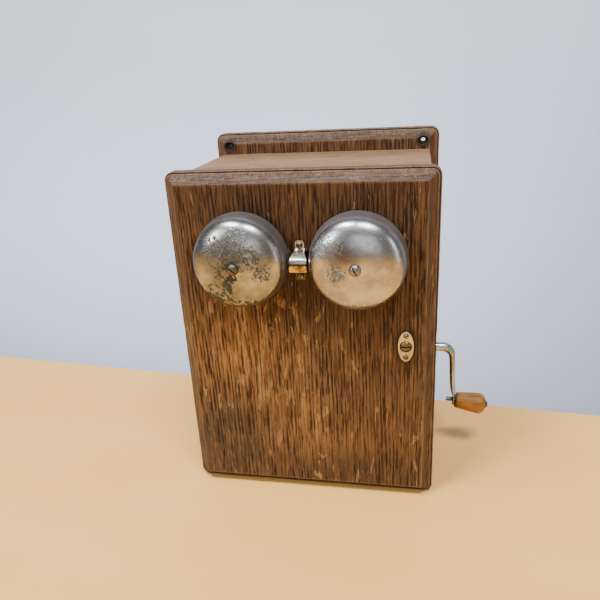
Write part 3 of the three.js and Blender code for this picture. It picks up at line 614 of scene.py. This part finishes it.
def floor_material():
    n = Nodes("table_top")
    cloud = n.noise((3, 12, 3), 5, 0.6)
    base = n.mix(n.ramp(cloud, 0.35, 0.7), (250, 192, 104), (246, 184, 96))
    return n.finish(Base_Color=base, Roughness=0.55)


def wall_material():
    n = Nodes("wall_paint")
    base = n.mix(n.ramp(n.noise(2, 3), 0.3, 0.7), (224, 232, 250), (220, 229, 247))
    return n.finish(Base_Color=base, Roughness=0.8)


# ---- Boards ----
def rounded_rectangle(width, bottom, top, radius, inset):
    """A ring of (x, z) points, always in the same order, with its straight sides divided."""
    per_side = 36
    per_corner = 10
    radius = max(radius - inset, 0.8)
    x = width / 2 - inset - radius
    z0 = bottom + inset + radius
    z1 = top - inset - radius

    def on_corner(centre_x, centre_z, degrees):
        a = radians(degrees)
        return Vector((centre_x + radius * cos(a), centre_z + radius * sin(a)))

    turns = [(x, z0, -90), (x, z1, 0), (-x, z1, 90), (-x, z0, 180)]
    ring = []
    for index, (centre_x, centre_z, start) in enumerate(turns):
        ring += [on_corner(centre_x, centre_z, start + 90 * i / per_corner) for i in range(per_corner)]
        last = on_corner(centre_x, centre_z, start + 90)
        following = on_corner(*turns[(index + 1) % 4])
        ring += [last.lerp(following, i / per_side) for i in range(per_side)]
    return ring


def set_attribute(mesh, name, values):
    mesh.attributes.new(name, "FLOAT", "POINT").data.foreach_set("value", values)


def moulded_board(low, high):
    """A thick board whose front edge has a bead, a crease and a shallow cove."""
    corner_radius = 7.5
    moulding_depth = 8
    depth = high.y - low.y
    slab = depth - moulding_depth
    # Each row: inset from the side, distance out from the back, wear, and grime with painted shade (darkest
    # in the crease behind the bead, growing into the cove)
    edge = [(2.4, 0, 0, 0), (0.9, 0, 0.3, 0.2), (0.25, 0.25, 0.5, 0), (0, 0.9, 0.1, 0.1),
            (0, slab * 0.5, 0, 0.25), (0, slab - 1.4, 0, 0.3), (0, slab - 0.6, 0.5, 0),
            (0.12, slab - 0.2, 1, 0), (0.45, slab, 1, 0), (0.9, slab - 0.05, 0.4, 0.2),
            (1.15, slab - 0.5, 0, 1), (1.45, slab - 0.45, 0, 1), (1.6, slab + 0.35, 0.2, 0.5),
            (1.62, slab + 0.8, 0.9, 0), (1.95, slab + 1.1, 0.8, 0)]
    cove_inset, cove_out, _, _ = edge[-1]
    cove_run = 6.65
    cove_steps = 10
    for i in range(1, cove_steps + 1):
        t = i / cove_steps
        hollow = 0.55 * sin(pi * t)
        wear = max(0.0, 0.35 - 0.6 * t)
        edge.append((cove_inset + cove_run * t + hollow, cove_out + cove_run * t - hollow, wear, 0.12 * t))
    edge += [(8.9, depth - 0.06, 0.75, 0), (9.7, depth, 0.3, 0), (10.8, depth, 0, 0)]
    centre = (low.x + high.x) / 2
    middle = Vector((0, (low.z + high.z) / 2))
    rings = []
    for inset, out, _, _ in edge:
        ring = []
        for p in rounded_rectangle(high.x - low.x, low.z, high.z, corner_radius, inset):
            uneven = noise.noise(Vector((p.x * 0.045, p.y * 0.045, out * 0.02))) * 0.2
            dent = max(0.0, noise.noise(Vector((p.x * 0.16, p.y * 0.16, 7.3))) - 0.32)
            pull = (abs(uneven) + dent) * (1.0 if 0 < out < depth - 0.2 else 0.3)
            inward = (middle - p).normalized() * pull
            ring.append((centre + p.x + inward.x, high.y - out, p.y + inward.y))
        rings.append(ring)
    mesh = mesh_from(*bridge_rings(rings))
    count = len(rings[0])
    for attribute, index in (("wear", 2), ("grime_and_shade", 3)):
        set_attribute(mesh, attribute, [row[index] for row in edge for _ in range(count)])
    return mesh


def make_door(material):
    mesh = moulded_board(DOOR_LOW, DOOR_HIGH)
    slot = box_mesh((BALL.x - SLOT_HALF_WIDTH, DOOR_FRONT - 2, SLOT_BOTTOM),
                    (BALL.x + SLOT_HALF_WIDTH, DOOR_BACK + 2, SLOT_TOP))
    latch_hole = bore(3.4, 12, "y", (LATCH.x, (DOOR_FRONT + DOOR_BACK) / 2, LATCH.z))
    leaves = [node_box(f"hinge_{where}_door_leaf") for where in ("upper", "lower")]
    recesses = [box_mesh((DOOR_LOW.x - 2, DOOR_BACK - 1.5, low.z - 0.3),
                         (high.x + 0.3, DOOR_BACK + 2, high.z + 0.3)) for low, high in leaves]
    mesh = cut_mesh(mesh, slot, latch_hole, *recesses)
    add_piece("door", mesh, material, "door", "door_panel")


def make_backboard(material):
    mesh = moulded_board(BACKBOARD_LOW, BACKBOARD_HIGH)
    countersunk = [(2.3, 25), (2.3, 3.4), (4.9, 0.2), (5.2, -1)]
    holes = [lathe_mesh(countersunk, "y", (x, BACKBOARD_LOW.y, WALL_SCREW_Z), 40)
             for x in (-WALL_SCREW_X, WALL_SCREW_X)]
    add_piece("wall_board", cut_mesh(mesh, *holes), material, "case", "backboard")


def make_plain_boards(materials):
    for node, material in materials.items():
        low, high = node_box(node)
        mesh = box_mesh(low, high)
        if node == "side_right":
            shaft_hole = bore(7.4, 9, "x", ((low.x + high.x) / 2, 0, SHAFT.z), 48)
            mortise = box_mesh((low.x - 1, low.y + 2, LATCH.z - 6),
                               (low.x + 8.6, low.y + 7.4, LATCH.z + 13.5))
            mesh = cut_mesh(mesh, shaft_hole, mortise)
        add_piece(node + "_board", bevelled(mesh, 0.7, 2), material, "case", node)


# ---- Ringer, outside ----
def gong_profile(low, high):
    """The shell's section: a nearly straight skirt, a tight shoulder and a shallow crown."""
    radius = (high.x - low.x) / 2
    height = high.y - low.y
    # Each point: share of the radius, share of the height
    outer = [(1.0, 0.0), (1.0, 0.03), (0.99, 0.12), (0.978, 0.28), (0.962, 0.42), (0.935, 0.54),
             (0.885, 0.65), (0.8, 0.75), (0.67, 0.845), (0.5, 0.92), (0.32, 0.968), (0.16, 0.992),
             (0.062, 1.0)]
    skin = spline([(r * radius, h * height) for r, h in outer], 5)
    wall = 1.6
    inside = [(max(p.x - wall * 0.95, 2.4), max(p.y - wall * (p.y / height), 0)) for p in reversed(skin)]
    rim = [(radius - wall, 0.0), (radius - wall + 0.25, 0.0), (radius - 0.3, 0.0)]
    return [tuple(p) for p in skin] + inside + rim + [tuple(skin[0])]


def slotted_dome(radius, height, place, slot_angle, shank, slot_width, flat=0.0, depth=0.6, axis="-y"):
    """A screw head whose slot floor is painted dark as shade, placed by the middle of its underside.

    The shank is (radius, length); flat is a share of the radius and depth a share of the height.
    """
    crown, *side = arc(radius, height, pi / 2, 0, 10)
    profile = [crown] + [(max(x, radius * flat), z) for x, z in side]
    profile += [(radius, -0.01), (shank[0], -0.01), (shank[0], -shank[1]), (1e-3, -shank[1])]
    head = lathe_mesh(profile, "z", (0, 0, 0), 48)
    floor = height * (1 - depth)
    half = slot_width / 2
    cutter = box_mesh((-radius * 2, -half, floor), (radius * 2, half, height * 2))
    head = bevelled(cut_mesh(head, cutter), 0.07, 1, 40)
    # The slot floor is marked for painted shade
    in_slot = [abs(v.co.y) < half + 0.03 and floor - 0.1 < v.co.z < floor + 0.1 for v in head.vertices]
    set_attribute(head, "grime_and_shade", [float(inside) for inside in in_slot])
    head.transform(Matrix.Translation(place) @ TURNS[axis] @ Matrix.Rotation(slot_angle, 4, "Z"))
    return head


def make_gongs(shells, screw_metals, post_metal):
    slots = {"left": radians(-42), "right": radians(-62)}
    for where in ("left", "right"):
        low, high = node_box(f"gong_{where}")
        centre = node_middle(f"gong_{where}")
        shell = lathe_mesh(gong_profile(low, high), "-y", (centre.x, high.y, centre.z), 160)
        shares = [(high.y - v.co.y) / (high.y - low.y) for v in shell.vertices]
        set_attribute(shell, "haze", [min(1.0, max(0.0, (0.56 - share) * 6)) for share in shares])
        add_piece(f"gong_shell_{where}", shell, shells[where], "door", f"gong_{where}", 50)
        radius = node_half(f"gong_screw_{where}").x
        place = (centre.x, low.y - 0.1, centre.z)
        head = slotted_dome(radius, 3.6, place, slots[where], (2, 8), slot_width=1.0, depth=0.5)
        add_piece(f"gong_screw_head_{where}", head, screw_metals[where], "door",
                  f"gong_screw_{where}")
        post_low, post_high = node_box(f"gong_post_{where}")
        length = post_high.y - post_low.y
        profile = fillet([(1e-3, 0), (8, 0), (8, 2.2), (4.5, 4), (4.5, length), (1e-3, length)], 0.5, 3)
        post = lathe_mesh(profile, "-y", (centre.x, post_high.y, centre.z), 48)
        add_piece(f"gong_standoff_{where}", post, post_metal, "door", f"gong_post_{where}")


def make_guard(metal, screw_metal):
    """The strap over the clapper, swept up from its lower foot to its upper one."""
    x = node_middle("clapper_guard").x
    foot = 0.9
    half_thickness = 0.58
    foot_top = 213.4
    # Each point: distance out from the door, height and half-width
    path = [(foot, 204.8, 3.0), (foot, 206, 4.0), (foot, 211.2, 4.4), (1.6, 212.7, 6.0),
            (5, 213.3, 6.9), (10.3, 213.7, 7.0), (12.4, 215.3, 7.0),
            (13, 218, 7.0), (12.8, 221, 7.0), (11.4, 224.2, 6.8),
            (7.6, 227.0, 5.6), (3.6, 228.6, 4.5), (1.5, 229.7, 4.0),
            (foot, 231.2, 3.9), (foot, 234.8, 3.9), (foot, 236.2, 3.1), (foot, 237.0, 1.6)]
    line = spline(path, 4)
    centres = [Vector((x, DOOR_FRONT - out, z)) for out, z, _ in line]
    sizes = [(half_width, half_thickness) for _, _, half_width in line]
    mesh = bar_mesh(centres, sizes, Vector((1, 0, 0)), 32, 5.0)
    # The lower foot, under the bulge, is marked for painted shade
    set_attribute(mesh, "grime_and_shade", [min(1.0, max(0.0, foot_top - v.co.z)) for v in mesh.vertices])
    add_piece("guard_strap", mesh, metal, "door", "clapper_guard", 40)
    for where, angle in (("top", 0.2), ("bottom", 1.1)):
        node = f"guard_screw_{where}"
        middle = node_middle(node)
        place = (middle.x, DOOR_FRONT - foot - 0.6, middle.z)
        head = slotted_dome(node_half(node).x, 1.8, place, angle, (1.2, 1.4), 0.8)
        add_piece(f"guard_screw_head_{where}", head, screw_metal, "door", node)


# ---- Latch ----
def make_escutcheon(plate_metal, screw_metal):
    """An oval plate with a round hole for the latch screw and two small countersunk screws."""
    low, high = node_box("escutcheon")
    middle = node_middle("escutcheon")
    half = node_half("escutcheon")
    screw_reach = 9.6
    outline = arc(half.x, half.z, 0, 2 * pi, 64)[:-1]
    plate = prism_mesh(outline, high.y, low.y, lambda u, v, w: (middle.x + u, w, middle.z + v))
    sink = [(1.35, 4), (1.35, 0.2), (2.55, -0.85)]
    holes = [bore(4.9, 4, "y", middle, 48)]
    holes += [lathe_mesh(sink, "y", (middle.x, middle.y, middle.z + z), 48)
              for z in (screw_reach, -screw_reach)]
    plate = bevelled(cut_mesh(plate, *holes), 0.35, 3)
    add_piece("escutcheon_plate", plate, plate_metal, "door", "escutcheon")
    for where, side, angle in (("top", 1, 0.5), ("bottom", -1, -0.3)):
        place = (middle.x, low.y + 0.1, middle.z + side * screw_reach)
        head = slotted_dome(2.1, 1.0, place, angle, (1.0, 1.3), 0.7)
        add_piece(f"escutcheon_screw_head_{where}", head, screw_metal, "door",
                  f"escutcheon_screw_{where}")


def make_latch(metal):
    """The slotted latch screw and, behind the door, its cam with a round foot."""
    head = slotted_dome(4.4, 2.1, (LATCH.x, DOOR_FRONT - 0.7, LATCH.z), 0.0, (2.6, 24.4), 1.5)
    add_piece("latch_screw_head", head, metal, "latch", "latch_screw")
    low, high = node_box("latch_cam")
    half = node_half("latch_cam").x
    top = high.z - LATCH.z
    corner = 1.2
    outline = arc(half, half, pi, 2 * pi, 20)
    outline += [(half, top - corner), (half - corner, top), (corner - half, top), (-half, top - corner)]
    cam = prism_mesh(outline, high.y, low.y, lambda u, v, w: (LATCH.x + u, w, LATCH.z + v))
    hole = bore(2.9, 6, "y", (LATCH.x, (low.y + high.y) / 2, LATCH.z))
    cam = bevelled(cut_mesh(cam, hole), 0.25, 2)
    add_piece("latch_cam_plate", cam, metal, "latch", "latch_cam")


# ---- Crank ----
ARM_TIP_X = 128.9
ARM_TIP_RADIUS = 5.6


def make_crank_arm(metal):
    """A round rod from the shaft, an elbow, and a flattened arm with a round tip."""
    low, _ = node_box("crank_arm")
    z = SHAFT.z
    tip_z = low.z + ARM_TIP_RADIUS
    radius = 4.3
    tip_thickness = 1.22
    # Each row: centre x, centre z, half-width along Y, half-thickness
    rows = [(low.x, z, radius, radius), (100, z, radius, radius), (114, z, radius, radius),
            (118.5, z - 0.25, radius, radius), (121.8, z - 1.6, 4.4, 4.1), (124.4, z - 4.4, 4.6, 3.5),
            (125.7, z - 8.4, 4.8, 2.9), (126.1, z - 14, 4.9, 2.6), (126.7, z - 26, 4.9, 2.5),
            (127.3, z - 38, 4.8, 2.4), (127.6, z - 43.5, 4.7, 2.2), (128.2, z - 48, 4.9, 1.6),
            (128.85, tip_z + 5, 5.4, 1.25), (ARM_TIP_X, tip_z, ARM_TIP_RADIUS, tip_thickness)]
    line = spline([(x, 0, h) for x, h, _, _ in rows], 6)
    sizes = spline([(w, t) for _, _, w, t in rows], 6)
    tip_steps = 8
    for i in range(1, tip_steps + 1):
        a = pi / 2 * i / tip_steps
        line.append(Vector((ARM_TIP_X, 0, tip_z - ARM_TIP_RADIUS * sin(a))))
        thickness = tip_thickness - 0.35 * (i / tip_steps) ** 3
        sizes.append((max(ARM_TIP_RADIUS * cos(a), 0.3), thickness))
    arm = bar_mesh(line, sizes, Vector((0, 1, 0)), 36, 2.3)
    arm = cut_mesh(arm, bore(2.2, 4, "x", (ARM_TIP_X, 0, tip_z)))
    add_piece("crank_rod_and_arm", arm, metal, "crank", "crank_arm", 45)
    return tip_z


def make_grip(tip_z, pin_metal, wood):
    """The turned grip and its pin, which droop from the arm's tip."""
    droop = Matrix.Translation((ARM_TIP_X, 0, tip_z)) @ Matrix.Rotation(radians(7), 4, "Y")
    stub = [(1e-3, -7.1), (2.1, -6.9), (2.1, -2), (1.7, -1.6)]
    head = [(1.7, 31.2), (3, 31.2), (2.6, 32.1), (1e-3, 32.6)]
    pin = lathe_mesh(fillet(stub + head, 0.3, 3), "x", (0, 0, 0), 32)
    pin.transform(droop)
    add_piece("grip_pin", pin, pin_metal, "crank", "grip_spindle")
    section = [(2, 1.9), (7.2, 1.9), (7.55, 2.6), (7.9, 5), (8.5, 10), (9.2, 16), (9.75, 21), (9.95, 23.6),
               (9.6, 25.6), (8.4, 27.6), (6.4, 29.2), (4.2, 30.3), (3.4, 30.7), (2, 30.9)]
    outer = [tuple(p) for p in spline(section[2:-1], 5)]
    profile = section[:2] + outer + [section[-1], section[0]]
    grip = lathe_mesh(profile, "x", (0, 0, 0), 72)

    def dirt(along):
        return max(exp(-((along - 2.2) / 1.1) ** 2), exp(-((along - 30.5) / 1.6) ** 2))

    set_attribute(grip, "wear", [dirt(v.co.x) for v in grip.vertices])
    grip.transform(droop)
    add_piece("wooden_grip", grip, wood, "grip", "crank_grip", 45)


def make_bushing(metal):
    low, high = node_box("crank_bushing")
    length = high.x - low.x
    flange = length - 1.5
    ring = fillet([(4.75, 0), (7.1, 0), (7.1, flange), (10, flange), (9.4, length), (4.75, length),
                   (4.75, 0)], 0.3, 2)
    bushing = lathe_mesh(ring + [ring[0]], "x", (low.x, 0, SHAFT.z), 64)
    add_piece("bushing_ring", bushing, metal, "case", "crank_bushing")


# ---- Hinges ----
KNUCKLE_RADIUS = 2.4
LEAF_HALF = 12
LEAF_SCREW_REACH = 7


def hinge_case_leaf(high, axis):
    """The leaf on the case's side, with its knuckle, the pin and two screws."""
    leaf = box_mesh((high.x - 1, axis.y + 3, axis.z - LEAF_HALF), (high.x, high.y, axis.z + LEAF_HALF))
    neck = box_mesh((high.x - 1, axis.y, axis.z - 3.7), (high.x, axis.y + 3.5, axis.z + 3.7))
    pieces = [bevelled(leaf, 0.25, 2), neck]
    for radius, half, rounding in ((KNUCKLE_RADIUS, 3.8, 0.35), (1, 12.6, 0.5)):
        profile = fillet([(1e-3, -half), (radius, -half), (radius, half), (1e-3, half)], rounding, 3)
        pieces.append(lathe_mesh(profile, "z", axis, 32))
    for side in (-1, 1):
        place = (high.x - 0.9, axis.y + 12.5, axis.z + side * LEAF_SCREW_REACH)
        pieces.append(slotted_dome(2.2, 0.7, place, 0.5 + side, (1.0, 0.8), 0.8, 0.8, 0.6, "-x"))
    return pieces


def hinge_door_leaf(high, axis):
    """The leaf let into the door's back, with a knuckle at each end and two screws."""
    floor_y = DOOR_BACK - 1.2
    left = axis.x - KNUCKLE_RADIUS
    leaf = box_mesh((left, floor_y, axis.z - LEAF_HALF), (high.x, floor_y + 1, axis.z + LEAF_HALF))
    pieces = [bevelled(leaf, 0.25, 2)]
    for side in (-1, 1):
        near_end, far_end = sorted((side * 4.1, side * LEAF_HALF))
        ring = [(1.3, near_end), (KNUCKLE_RADIUS, near_end), (KNUCKLE_RADIUS, far_end), (1.3, far_end),
                (1.3, near_end)]
        pieces.append(lathe_mesh(ring, "z", axis, 32))
        pieces.append(box_mesh((left, floor_y + 0.5, axis.z + near_end),
                               (axis.x - 1.5, axis.y, axis.z + far_end)))
        place = (high.x - 5, floor_y + 1, axis.z + side * LEAF_SCREW_REACH)
        pieces.append(slotted_dome(2.2, 0.25, place, 0.4 + side, (1.0, 0.8), 0.7, 0.8, 0.9, "y"))
    return pieces


def make_hinges(metal):
    for where in ("upper", "lower"):
        low, high = node_box(f"hinge_{where}_case_leaf")
        axis = Vector((low.x + KNUCKLE_RADIUS, low.y + KNUCKLE_RADIUS, (low.z + high.z) / 2))
        _, door_leaf_high = node_box(f"hinge_{where}_door_leaf")
        for part, pieces in (("case", hinge_case_leaf(high, axis)),
                             ("door", hinge_door_leaf(door_leaf_high, axis))):
            add_piece(f"hinge_{where}_on_{part}", join_meshes(*pieces), metal, part,
                      f"hinge_{where}_{part}_leaf")


# ---- Works inside ----
def make_coils(silk):
    """Two spools with flat flanges, wound with silk-covered wire."""
    for where in ("left", "right"):
        low, high = node_box(f"ringer_coil_{where}")
        place = ((low.x + high.x) / 2, (low.y + high.y) / 2, low.z)
        top = high.z - low.z
        # Each point: radius, height above the spool's lower end
        flange = [(4.3, 0), (11.1, 0), (11.4, 0.3), (11.4, 1.7), (11.1, 2), (10.3, 2), (10.35, 2.2)]
        wound_part = [(10.35 + 0.08 * (i % 2), 2.2 + (top - 4.4) * i / 24) for i in range(1, 24)]
        profile = flange + wound_part + [(r, top - h) for r, h in reversed(flange)]
        coil = lathe_mesh(profile + [profile[0]], "z", place, 56)
        heights = [v.co.z - low.z for v in coil.vertices]
        set_attribute(coil, "flange", [float(not 2.1 <= h <= top - 2.1) for h in heights])
        add_piece(f"coil_{where}", coil, silk, "door", f"ringer_coil_{where}")


def make_magnets(paint_material):
    """The magneto's three horseshoe magnets, with eased edges."""
    for number in (1, 2, 3):
        low, high = node_box(f"magneto_magnet_{number}")
        outer = (high.y - low.y) / 2
        inner = outer - 8
        arch = high.z - outer
        outline = [(outer, low.z), *arc(outer, outer, 0, pi, 36, arch), (-outer, low.z)]
        outline += [(-inner, low.z), *arc(inner, inner, pi, 0, 36, arch), (inner, low.z)]
        magnet = prism_mesh(outline, low.x, high.x, lambda u, v, w: (w, u, v))
        add_piece(f"horseshoe_{number}", bevelled(magnet, 0.8, 3, 50), paint_material, "case",
                  f"magneto_magnet_{number}", 40)


def make_clapper(rod_metal, ball_metal):
    """The bent rod through the door's slot, and the ball on its end, with a groove round it."""
    radius = 4
    # Each point: y behind the door's back, and z
    line = [(20, 163.8), (19, 166), (7.5, 170.5), (6.5, 176), (6.5, 195), (6.5, 209), (3, 216), (-6, 219.4),
            (-20, 220.4)]
    rod = wire_mesh([(BALL.x, DOOR_BACK + y, z) for y, z in line], 1.2, 16, 8)
    add_piece("bent_rod", rod, rod_metal, "clapper", "clapper_rod")
    profile = arc(radius, radius, -pi / 2, pi / 2, 32)
    equator = 16
    profile[equator] = (radius - 0.25, 0)
    add_piece("ball", lathe_mesh(profile, "y", tuple(BALL), 48), ball_metal, "clapper",
              "clapper_ball", 60)


# ---- Stage ----
def make_stage():
    """A table top whose back edge runs at a slight angle just behind the box, and a wall beyond."""
    back_left = (-3.0, 0.3926, 0)
    back_right = (3.0, -0.1967, 0)
    floor = mesh_from([(-3, -3, 0), (3, -3, 0), back_right, back_left], [(0, 1, 2, 3)])
    wall = mesh_from([(-9, 1.75, -2), (9, 0.85, -2), (9, 0.85, 4), (-9, 1.75, 4)], [(0, 1, 2, 3)])
    for name, mesh, material in (("table", floor, floor_material()), ("backdrop", wall, wall_material())):
        mesh.materials.append(material)
        new_object(name, mesh)


def make_lights():
    def area(name, place, target, size, power, colour=(1, 1, 1)):
        data = bpy.data.lights.new(name, "AREA")
        data.shape = "RECTANGLE"
        data.size, data.size_y = size
        data.energy = power
        data.color = colour
        lamp = new_object(name, data)
        lamp.location = place
        lamp.rotation_euler = (Vector(target) - Vector(place)).to_track_quat("-Z", "Y").to_euler()

    area("ceiling_left", (-0.7, -0.7, 2.1), (-0.1, 0, 0.15), (0.7, 0.3), 44)
    area("ceiling_right", (0.5, -0.9, 2.1), (0.1, 0, 0.15), (0.7, 0.3), 44)
    area("window", (-1.7, -1.5, 1.3), (0, 0, 0.15), (0.6, 0.9), 30, (0.95, 0.97, 1.0))
    area("wall_wash", (-1.0, 0.55, -0.2), (-1.0, 1.5, -0.2), (2.6, 0.4), 13)
    area("side_glow", (1.3, -0.6, 0.5), (0.05, -0.1, 0.22), (0.2, 0.9), 2.5)
    area("front_fill", (0.3, -2.4, 0.9), (0, 0, 0.15), (1.6, 1.2), 7)
    world = bpy.data.worlds.new("room")
    world.use_nodes = True
    background = world.node_tree.nodes["Background"]
    background.inputs["Color"].default_value = (0.80, 0.84, 0.90, 1)
    background.inputs["Strength"].default_value = 0.28
    bpy.context.scene.world = world


def paint(material, *names):
    """Gives carried-over CAD nodes a detailed material."""
    for name in names:
        mesh = nodes[name].data
        mesh.materials.clear()
        mesh.materials.append(material)


make_camera()
make_stage()
make_lights()


def spots_on(centre, depth, rows):
    """Each row: x and z from the centre, half-width, half-height, then the spot's own values."""
    return [((centre.x + x, centre.y, centre.z + z), (wide, depth, high), *values)
            for x, z, wide, high, *values in rows]


door_patches = [
    (-0.052, 0.150, 0.06, 0.07, (156, 110, 58), 0.8),
    (-0.020, 0.085, 0.05, 0.07, (138, 98, 54), 0.65),
    (0.010, 0.050, 0.06, 0.035, (136, 98, 56), 0.65),
    (-0.075, 0.045, 0.07, 0.06, (66, 54, 42), 0.9),
    (0.03, 0.02, 0.09, 0.035, (56, 44, 33), 0.75),
]
# Painted shade on the door: across its top, under the gongs and towards its lower right
door_painted_shades = [
    (0.0, 0.280, 0.22, 0.075, (192, 180, 166), 1.0),
    (-0.03, 0.195, 0.10, 0.06, (172, 162, 148), 0.9),
    (0.06, 0.21, 0.10, 0.07, (210, 200, 190), 0.9),
    (0.065, 0.09, 0.06, 0.14, (232, 226, 218), 0.9),
]
# Painted shade in and around the wall screw holes
wall_screw_hole_shade = [((x * MM, 0.063, WALL_SCREW_Z * MM), (0.0085, 0.03, 0.0085))
                    for x in (-WALL_SCREW_X, WALL_SCREW_X)]
latch_spots = [((LATCH.x * MM, DOOR_FRONT * MM, LATCH.z * MM), (0.0125, 0.03, 0.0215))]
door_front = Vector((0, -0.08, 0))
door_oak = oak("door_oak", patches=spots_on(door_front, 0.05, door_patches),
               painted_shades=spots_on(door_front, 0.05, door_painted_shades), spots=latch_spots,
               flecked=((-0.035, -0.08, 0.135), (0.09, 0.05, 0.10)), edge_fade=0.5)
case_oak = oak("case_oak", dark=(60, 35, 20), light=(106, 72, 41), gold=(124, 88, 48), dust=0.3,
               pore_strength=0.6)
back_oak = oak("backboard_oak", dark=(58, 33, 18), light=(108, 72, 42), gold=(126, 88, 48),
               end=((38, 29, 23), (98, 80, 68)), pore_strength=0.7, edge_fade=0.5, spots=wall_screw_hole_shade)
top_oak = oak("top_oak", "x", dark=(54, 30, 17), light=(104, 70, 39), dust=0.2, pore_strength=0.5,
              bleached=((104, 76, 50), (160, 126, 90)))
inside_oak = oak("inside_oak", "x", dark=(84, 54, 30), light=(158, 114, 70), gold=(170, 130, 84), dust=0.2,
                 pore_strength=0.6)


left_stains = [
    (-0.003, 0.012, 0.026, 0.020, 0.9, 0.75),
    (0.014, 0.008, 0.014, 0.012, 0.9, 0.75),
    (-0.003, -0.005, 0.016, 0.018, 1.0, 0.25),
    (-0.016, -0.022, 0.020, 0.014, 0.9, 0.4),
    (0.006, -0.030, 0.018, 0.010, 0.9, 0.4),
    (0.021, -0.004, 0.010, 0.010, 0.9, 0.7),
]
left_smudges = [
    (-0.016, 0.006, 0.028, 0.026, (96, 96, 84), 0.7),
    (-0.006, -0.022, 0.034, 0.026, (82, 84, 76), 0.75),
]
right_stains = [
    (0.0, -0.034, 0.026, 0.007, 0.8, 0.6),
    (-0.013, -0.004, 0.010, 0.012, 0.7, 0.8),
    (-0.020, 0.014, 0.014, 0.014, 0.5, 0.9),
]
# Painted reflection: a dark purple-brown patch above the right gong's screw
right_painted_reflection = [(-0.004, 0.011, 0.026, 0.012, (92, 78, 80), 0.75)]


def gong_nickel(where, clean, dull, roughness, specks, stains, smudges_and_reflections):
    centre = node_middle(f"gong_{where}") * MM
    return tarnished(f"nickel_{where}", clean, dull, roughness, specks=specks,
                     stains=spots_on(centre, 0.06, stains), smudges_and_reflections=spots_on(centre, 0.06, smudges_and_reflections))


gong_metals = {
    "left": gong_nickel("left", (176, 176, 177), (132, 129, 124), 0.18, 0.8, left_stains, left_smudges),
    "right": gong_nickel("right", (188, 188, 190), (150, 146, 145), 0.17, 0.7, right_stains, right_painted_reflection),
}
dark_nickel = tarnished("nickel_screw_dark", (120, 116, 104), (86, 82, 70), 0.3, 0.5, specks=0.8)
guard_metal = worn_through("guard_metal", 0.2203)
crank_nickel = tarnished("crank_nickel", (186, 194, 206), (138, 141, 146), 0.2, 0.15)
aged_screw = tarnished("aged_screw", (150, 136, 106), (98, 86, 60), 0.35, 0.4)
plate_metal = tarnished("plate_metal", (214, 204, 176), (184, 166, 126), 0.36, 0.2)
latch_brass = tarnished("latch_brass", (142, 126, 94), (90, 76, 50), 0.28, 0.3)
screw_nickel = tarnished("nickel_screw", (138, 134, 126), (98, 92, 80), 0.28, 0.3)
brass = tarnished("brass", (184, 156, 98), (124, 98, 56), 0.3, 0.15)
steel = tarnished("steel", (150, 148, 144), (104, 98, 90), 0.3, 0.3)
iron = painted_iron("iron")
magnet_paint = painted_iron("magnet_paint", (26, 23, 22), 0.15)
green_silk = wound("green_silk", (74, 88, 50), (36, 44, 26), 0.0007)
copper = wound("copper_winding", (132, 70, 40), (70, 34, 20), 0.0008)
rubber = hard_rubber("hard_rubber")
amber = honey_wood("amber_wood")

make_door(door_oak)
make_backboard(back_oak)
make_plain_boards({"side_left": case_oak, "side_right": case_oak, "top_panel": top_oak,
                   "bottom_panel": inside_oak, "magneto_shelf": inside_oak})
make_gongs(gong_metals, {"left": dark_nickel, "right": screw_nickel}, brass)
make_guard(guard_metal, screw_nickel)
make_escutcheon(plate_metal, aged_screw)
make_latch(latch_brass)
arm_tip_z = make_crank_arm(crank_nickel)
make_grip(arm_tip_z, dark_nickel, amber)
make_bushing(crank_nickel)
make_hinges(brass)
make_coils(green_silk)
make_magnets(magnet_paint)
make_clapper(steel, brass)

paint(brass, "latch_keeper", "magneto_base_plate", "magneto_end_plate_left", "magneto_end_plate_right",
      "contact_spring", "terminal_post_left", "terminal_post_right", "ringer_frame", "drive_gear",
      "armature_head_left", "armature_pinion")
paint(steel, "crank_shaft", "ringer_pivot_pin")
paint(iron, "magneto_pole_front", "magneto_pole_rear", "ringer_yoke", "ringer_armature", "armature_core")
paint(magnet_paint, "ringer_magnet")
paint(green_silk, "line_wire_left", "line_wire_right")
paint(copper, "armature_winding")
paint(rubber, "spring_block", "terminal_strip")
